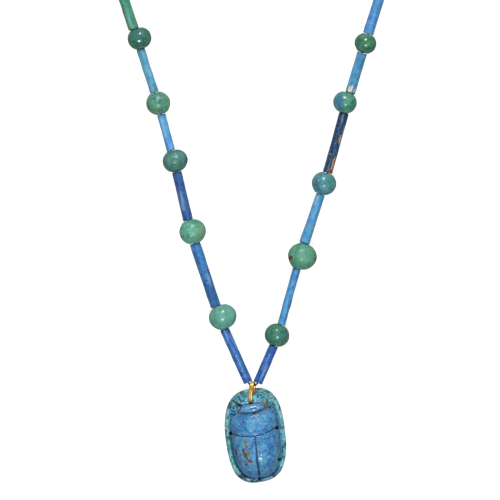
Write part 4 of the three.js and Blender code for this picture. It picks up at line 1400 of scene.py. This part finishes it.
LEFT_TUBES = (
    (Glaze("royal_blue", "#2a60b4", "#3c80cc", deep="#14295c", gloss=0.26, specks=0.35, cloud=420),
     (Mark(0.08, 30, 1.6, 0.8, BARE, 0.35), Mark(0.97, -50, 0.9, 0.9, DIRT_AND_SHADE, 1.0),
      # the long pale streak along the top is a painted highlight
      Mark(0.4, 5, 3.0, 0.6, PALE, 0.5))),
    (Glaze("mid_blue", "#2f66ad", "#3f86c8", over="#234a86", deep="#122c58", gloss=0.34,
           specks=0.45, cloud=460),
     (Mark(0.2, 0, 7.0, 3.5, SECOND, 0.75), Mark(0.42, -5, 0.7, 0.6, DIRT_AND_SHADE, 0.7),
      Mark(0.12, 0, 0.6, 0.5, DIRT_AND_SHADE, 0.5), Mark(0.8, -20, 1.4, 0.8, RUST, 0.18))),
    (Glaze("dark_blue", "#27529a", "#3366a8", over="#2c5c93", deep="#0f2550", gloss=0.36,
           specks=0.5, cloud=520),
     (Mark(0.1, -20, 2.5, 2.0, SECOND, 0.5),)),
    (Glaze("sky_blue", "#4d99dc", "#5dabe2", over="#6f9ede", deep="#215087", gloss=0.36,
           specks=0.2, cloud=420),
     (Mark(0.15, 10, 2.4, 1.6, SECOND, 0.6), Mark(0.1, -10, 0.5, 0.4, DIRT_AND_SHADE, 0.4))),
    (Glaze("cyan", "#4a9fc0", "#62b0d0", over="#6a9bcf", deep="#1f5670", gloss=0.36, specks=0.25,
           cloud=420),
     (Mark(0.16, 15, 0.9, 0.9, DIRT_AND_SHADE, 0.55), Mark(0.05, 10, 0.9, 1.3, RUST, 0.6),
      Mark(0.25, 0, 2.2, 1.4, SECOND, 0.7))),
    (Glaze("green_teal", "#3f8f8c", "#4f9f7c", over="#5f9fc0", rust="#a8601c", deep="#1d4a3e",
           gloss=0.34, specks=0.4, cloud=420),
     (Mark(0.34, -58, 1.8, 0.7, RUST, 1.2), Mark(0.28, -10, 3.6, 1.3, SECOND, 0.8))),
)
RIGHT_TUBES = (
    (Glaze("deep_royal_blue", "#2456ac", "#366dc2", over="#2c4f8f", deep="#14285a", gloss=0.16,
           specks=0.3, cloud=420),
     # the thin pale line just right of the top is a painted highlight
     (Mark(0.85, -10, 2.0, 1.2, SECOND, 0.6), Mark(0.26, 16, 4.6, 0.4, PALE, 1.6))),
    (Glaze("soft_blue", "#3f8bd0", "#55a6dd", over="#3f74c2", deep="#1d4576", gloss=0.32,
           specks=0.2, cloud=420),
     (Mark(0.52, 5, 0.6, 0.6, DIRT_AND_SHADE, 0.75), Mark(0.68, 10, 0.5, 0.5, DIRT_AND_SHADE, 0.7),
      Mark(0.15, 10, 0.9, 0.5, BARE, 0.8),
      Mark(0.38, 0, 0.5, 0.5, BARE, 0.6), Mark(0.85, -10, 3.0, 2.4, SECOND, 0.6))),
    (Glaze("light_blue", "#4493cf", "#57a8d6", over="#3d83c4", deep="#1d4b7a", gloss=0.32,
           specks=0.2, cloud=420),
     (Mark(0.3, 25, 1.2, 0.45, BARE, 0.8), Mark(0.4, 20, 0.9, 0.4, BARE, 0.9),
      Mark(0.57, 15, 0.7, 0.5, RUST, 0.8), Mark(0.72, -10, 2.2, 1.2, SECOND, 0.6))),
    (Glaze("navy", "#17345c", "#214a74", over="#2f6f8f", body="#dba866", deep="#0b1c3f",
           gloss=0.34, specks=0.5, crazing=0.2, cloud=620),
     (Mark(0.18, 42, 4.4, 0.95, BARE, 1.5, 0.1), Mark(0.58, 40, 2.9, 0.8, BARE, 1.3, 0.08),
      Mark(0.03, 20, 1.2, 2.0, RUST, 1.1), Mark(0.36, 20, 2.4, 0.9, SECOND, 0.7),
      Mark(0.3, -30, 0.5, 0.6, BARE, 0.5))),
    (Glaze("blue_teal", "#4a90c0", "#56a4d4", over="#3f86a8", body="#efe0b0", deep="#1b4560",
           gloss=0.32, specks=0.25, cloud=420),
     (Mark(0.11, -14, 2.1, 1.1, BARE, 1.6, 0.12), Mark(0.06, 42, 1.5, 0.6, BARE, 1.5, 0.1),
      Mark(0.22, -20, 1.0, 0.8, RUST, 0.35), Mark(0.75, 0, 3.4, 2.0, SECOND, 0.6))),
    (Glaze("clear_blue", "#4285c8", "#58a2da", over="#4f8fd6", deep="#1c4174", gloss=0.34,
           specks=0.25, cloud=420),
     (Mark(0.2, 0, 3.0, 1.5, SECOND, 0.5),)),
)


@dataclass
class Strand:
    """One side of the string: its tubes and the round beads between, counted from the amulet.

    Each tube reaches into the seats of its neighbours, and the first barely towards the loop.
    """

    side: str
    balls: tuple
    tubes: tuple
    count: int = 11
    first_seed: int = 0
    ball_seed: int = 20
    loop_growth: float = 0.12
    seat_growth: float = 0.47
    courses: list[Course] = field(default_factory=list)

    def measure(self) -> None:
        """Reads every tube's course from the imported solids, from the amulet outwards."""
        nearest = Vector((0, 0, 0))
        for index in range(1, self.count + 1):
            course = read_course(f"{self.side}_tube_{index:02d}", nearest)
            self.courses.append(course)
            nearest = course.end

    def build(self, materials: dict[str, bpy.types.Material]) -> None:
        """Builds all beads.

        Args:
            materials: The finishes by name.
        """
        for index, course in enumerate(self.courses):
            glaze, marks = self.chosen(self.tubes, index)
            node = f"{self.side}_tube_{index + 1:02d}"
            seed = self.first_seed + index
            growth = self.seat_growth if index else self.loop_growth
            TubeBead(node, course, glaze, marks, seed, growth).build(materials[glaze.name])
            if index + 1 == self.count:
                break
            glaze, spots = self.chosen(self.balls, index)
            node = f"{self.side}_ball_{index + 1:02d}"
            start = self.courses[index + 1].start
            ball = RoundBead(node, course.end, start, glaze, spots, seed + self.ball_seed)
            ball.build(materials[glaze.name])

    @staticmethod
    def chosen(beads: tuple, index: int) -> tuple[Glaze, tuple]:
        """Gives a bead's finish and marks; the beads behind the neck repeat the finishes alone."""
        glaze, marks = beads[index % len(beads)]
        return glaze, marks if index < len(beads) else ()


# ------------------------------------------------------------------------------ loop and thread


@dataclass
class GoldLoop:
    """The loop bent from a flattened wire, with a faint furrow along its faces and a few dents."""

    seat: LoopSeat = LoopSeat()
    turn: float = math.radians(7)
    bend: tuple[Plan, ...] = (
        (1.75, 1.95), (0.75, 2.45), (0.2, 3.2), (0.55, 4.05), (1.6, 4.3), (3.3, 4.25),
        (4.8, 3.9), (5.3, 2.95), (4.8, 1.9), (3.6, 1.55), (2.0, 1.85),
    )
    half_width: float = 0.56
    half_thick: float = 0.29
    squareness: float = 3.4
    thread_at: Plan = (4.58, 2.85)
    thread_half: float = 0.7
    furrow: float = 0.05
    half_furrow: float = 0.14
    rings: int = 120
    around: int = 32

    def route(self) -> tuple[Array, Array]:
        """Gives the wire's centre line in the loop's plane as places and directions."""
        bend = np.array(self.bend)
        corners = np.vstack([2 * bend[0] - bend[1], bend, 2 * bend[-1] - bend[-2]])
        share = np.linspace(0, len(bend) - 1 - 1e-6, 40 * len(bend))
        k = share.astype(int)
        t = (share - k)[:, None]
        a, b, c, d = (corners[k + i] for i in range(4))
        first, second, third = (
            np.linalg.norm(q - p, axis=1)[:, None] ** 0.5 for p, q in ((a, b), (b, c), (c, d)))
        leave = ((b - a) / first - (c - a) / (first + second) + (c - b) / second) * second
        arrive = ((c - b) / second - (d - b) / (second + third) + (d - c) / third) * second
        square = 3 * (c - b) - 2 * leave - arrive
        cube = 2 * (b - c) + leave + arrive
        place = b + leave * t + square * t ** 2 + cube * t ** 3
        run = np.concatenate([[0], np.cumsum(np.linalg.norm(np.diff(place, axis=0), axis=1))])
        even = np.linspace(0, run[-1], self.rings)
        place = np.column_stack([np.interp(even, run, place[:, i]) for i in (0, 1)])
        heading = np.gradient(place, axis=0)
        return place, heading / np.linalg.norm(heading, axis=1)[:, None]

    def build(self, material: bpy.types.Material) -> bpy.types.Object:
        """Builds and dresses the loop.

        Args:
            material: The gold.

        Returns:
            The finished piece.
        """
        deselect()
        bpy.ops.mesh.primitive_uv_sphere_add(segments=self.around, ring_count=self.rings + 1)
        obj = bpy.context.object
        obj.name = "gold_loop_wire"
        at = vertices_of(obj)
        polar = np.arccos(np.clip(at[:, 2], -1, 1))
        ring = np.round(polar / math.pi * (self.rings + 1)).astype(int) - 1
        ring = np.clip(ring, 0, self.rings - 1)
        pole = np.abs(at[:, 2]) > 1 - 1e-5
        angle = np.arctan2(at[:, 1], at[:, 0])
        wide, thick = Oval(self.half_width, self.half_thick, self.squareness).point(angle)
        dip = self.furrow * np.clip(1 - (wide / self.half_furrow) ** 2, 0, 1)
        thick = np.sign(thick) * np.maximum(np.abs(thick) - dip, 0)
        wide, thick = np.where(pole, 0, wide), np.where(pole, 0, thick)
        place, heading = self.route()
        out = np.column_stack([-heading[:, 1], heading[:, 0]])
        plan = place[ring] + out[ring] * thick[:, None]
        flat = np.column_stack([plan, wide])
        flat += 0.03 * np.column_stack([soft_noise(flat, 0.9, k) for k in (3, 4, 5)])
        set_vertices(obj, flat)
        turned = Matrix.Rotation(self.turn, 4, "Z")
        obj.data.transform(Matrix.Scale(MM, 4) @ turned @ self.seat.place())
        close_skin(obj)
        return finish_piece(obj, material, ["gold_loop"])

    def eye(self, side: int) -> Vector:
        """Gives the thread's point in the loop's far end, on one side of the wire."""
        turned = Matrix.Rotation(self.turn, 4, "Z")
        return turned @ self.seat.at(*self.thread_at, side * self.thread_half)


@dataclass
class Thread:
    """The plied thread through all beads, with the knot that closes it behind the neck."""

    radius: float = 0.27
    ply_pitch: float = 1.3
    spacing: float = 0.22
    knot_size: float = 0.55

    def plied(self, name: str, points: list[Vector], radius: float) -> bpy.types.Object:
        """Sweeps a three-lobed section along a line and turns it as it goes.

        Args:
            name: The new object's name.
            points: The corners of the line, in millimetres.
            radius: The thread's outer radius.

        Returns:
            The new mesh object.
        """
        lobe = bpy.data.curves.new(name + "_ply", "CURVE")
        lobe.dimensions = "2D"
        ring = lobe.splines.new("POLY")
        count = 12
        ring.points.add(count - 1)
        for i, point in enumerate(ring.points):
            angle = 2 * math.pi * i / count
            reach = radius * (0.86 + 0.14 * math.cos(3 * angle))
            point.co = (reach * math.cos(angle), reach * math.sin(angle), 0, 1)
        ring.use_cyclic_u = True
        section = bpy.data.objects.new(name + "_ply", lobe)
        bpy.context.collection.objects.link(section)
        route = bpy.data.curves.new(name, "CURVE")
        route.dimensions = "3D"
        places = self.spaced(points)
        spline = route.splines.new("POLY")
        spline.points.add(len(places) - 1)
        for i, (point, place) in enumerate(zip(spline.points, places)):
            point.co = (*place, 1)
            point.tilt = 2 * math.pi * i * self.spacing / self.ply_pitch
        route.bevel_mode = "OBJECT"
        route.bevel_object = section
        route.use_fill_caps = True
        obj = bpy.data.objects.new(name, route)
        bpy.context.collection.objects.link(obj)
        take(obj)
        bpy.ops.object.convert(target="MESH")
        obj = bpy.context.object
        bpy.data.objects.remove(section)
        close_skin(obj, DOUBLED)
        return obj

    def spaced(self, points: list[Vector]) -> list[Vector]:
        """Puts points at even steps along a line of corners."""
        places = [points[0]]
        for first, second in zip(points, points[1:]):
            steps = max(1, round((second - first).length / self.spacing))
            places += [first.lerp(second, (i + 1) / steps) for i in range(steps)]
        return places

    def build(
        self, left: Strand, right: Strand, loop: GoldLoop, material: bpy.types.Material
    ) -> list[bpy.types.Object]:
        """Builds the thread and its knot.

        Args:
            left: The measured left strand.
            right: The measured right strand.
            loop: The gold loop that the thread passes.
            material: The yarn.

        Returns:
            The finished pieces.
        """
        run: list[Vector] = []
        for course in reversed(left.courses):
            run += [course.end, course.start]
        run += [loop.eye(-1), loop.eye(1)]
        for course in right.courses:
            run += [course.start, course.end]
        knot = (run[0] + run[-1]) / 2
        ends = [knot + Vector((reach, 0, 0)) for reach in (-0.2, 0.2)]
        line = self.plied("thread_line", [ends[0], *run, ends[1]], self.radius)
        turns = []
        for i in range(40):
            t = 2 * math.pi * i / 40
            turns.append(knot + self.knot_size * Vector((
                0.62 * (math.sin(t) + 2 * math.sin(2 * t)) * 0.62,
                0.62 * (math.cos(t) - 2 * math.cos(2 * t)) * 0.62,
                -0.75 * math.sin(3 * t),
            )))
        wrap = self.plied("thread_knot", [*turns, turns[0]], self.radius)
        pieces = [line, wrap]
        for side, bends in (
            ("left", ((-0.3, 0.7, 0.25), (-0.75, 1.4, 0.1), (-0.9, 2.1, -0.3))),
            ("right", ((0.35, 0.7, 0.3), (0.6, 1.5, 0.1), (0.95, 2.4, -0.35))),
        ):
            tail = [knot, *(knot + Vector(bend) for bend in bends)]
            pieces.append(self.plied(f"thread_tail_{side}", tail, self.radius * 0.9))
        for piece in pieces:
            piece.data.transform(Matrix.Scale(MM, 4))
            finish_piece(piece, material, ["necklace_thread"])
        return pieces


# ------------------------------------------------------------------------------ stage


@dataclass
class Stage:
    """The pale floor, the soft light and the camera that looks straight down."""

    view_width: float = 0.135
    view_middle: Plan = (-0.00146, 0.05)
    lens: float = 600.0
    sensor: float = 36.0
    floor_size: float = 6.0
    floor_drop: float = 0.00002
    floor_grey: float = 0.35
    floor_glow: float = 0.9
    surround: float = 0.12
    lamp_distance: float = 1.0

    def build(self) -> None:
        """Builds the floor, the lights, the surroundings and the camera."""
        deselect()
        bpy.ops.mesh.primitive_plane_add(size=self.floor_size, location=(0, 0, -self.floor_drop))
        floor = bpy.context.object
        floor.name = "floor"
        paper = bpy.data.materials.new("pale_floor")
        paper.use_nodes = True
        shader = paper.node_tree.nodes["Principled BSDF"]
        shader.inputs["Base Color"].default_value = (*[self.floor_grey] * 3, 1)
        shader.inputs["Roughness"].default_value = 0.9
        shader.inputs["Specular IOR Level"].default_value = 0.0
        shader.inputs["Emission Strength"].default_value = self.floor_glow
        seen = Kit(paper.node_tree).node("LightPath").outputs["Is Camera Ray"]
        paper.node_tree.links.new(seen, shader.inputs["Emission Color"])
        floor.data.materials.append(paper)
        world = bpy.data.worlds.new("studio")
        world.use_nodes = True
        background = world.node_tree.nodes["Background"]
        background.inputs["Color"].default_value = (1, 1, 1, 1)
        background.inputs["Strength"].default_value = self.surround
        bpy.context.scene.world = world
        self.lamp("upper_lamp", 52, 0.24, 6.5)
        self.lamp("lower_lamp", -25, 0.26, 5.4)
        data = bpy.data.cameras.new("camera")
        data.lens = self.lens
        data.sensor_width = self.sensor
        distance = self.view_width * self.lens / self.sensor
        data.clip_start = 0.01
        data.clip_end = 20
        camera = bpy.data.objects.new("camera", data)
        camera.location = (*self.view_middle, distance)
        bpy.context.collection.objects.link(camera)
        bpy.context.scene.camera = camera
        bpy.context.scene.view_settings.view_transform = "Standard"

    def lamp(self, name: str, tilt: float, size: float, watts: float) -> None:
        """Adds a round lamp.

        Args:
            name: The lamp's name.
            tilt: Its tilt from straight up towards +Y, in degrees.
            size: Its diameter.
            watts: Its power.
        """
        data = bpy.data.lights.new(name, "AREA")
        data.shape = "DISK"
        data.size = size
        data.energy = watts
        lamp = bpy.data.objects.new(name, data)
        lean = math.radians(tilt)
        away = Vector((0, math.sin(lean), math.cos(lean))) * self.lamp_distance
        lamp.location = away + Vector((0, self.view_middle[1], 0))
        lamp.rotation_euler = away.to_track_quat("Z", "Y").to_euler()
        bpy.context.collection.objects.link(lamp)


def main() -> None:
    """Builds the stage, the amulet, the loop, the beads and the thread in order."""
    logging.basicConfig(level=logging.INFO, format="%(name)s: %(message)s")
    Stage().build()
    glaze, weathered = glaze_group(), weathered_group()
    scarab_glaze = Glaze(
        "scarab_glaze", "#3f88ce", "#63b6e8", deep="#12293f", over="#68cab6", body="#8c7f3c",
        rust="#6e4212", balance=0.46, cloud=420.0, specks=0.9, crazing=0.8, gloss=0.2, bump=0.6,
    )
    ScarabAmulet().build(scarab_glaze.make(glaze, weathered))
    loop = GoldLoop()
    loop.build(Gold().make())
    materials = {}
    for number, (finish, _) in enumerate(LEFT_BALLS + RIGHT_BALLS + LEFT_TUBES + RIGHT_TUBES):
        materials[finish.name] = finish.make(glaze, weathered)
        LOG.info("finish %d: %s", number, finish.name)
    left = Strand("left", LEFT_BALLS, LEFT_TUBES)
    right = Strand("right", RIGHT_BALLS, RIGHT_TUBES, first_seed=40)
    for strand in (left, right):
        strand.measure()
        strand.build(materials)
    Thread().build(left, right, loop, Yarn().make())


if __name__ == "__main__":
    main()
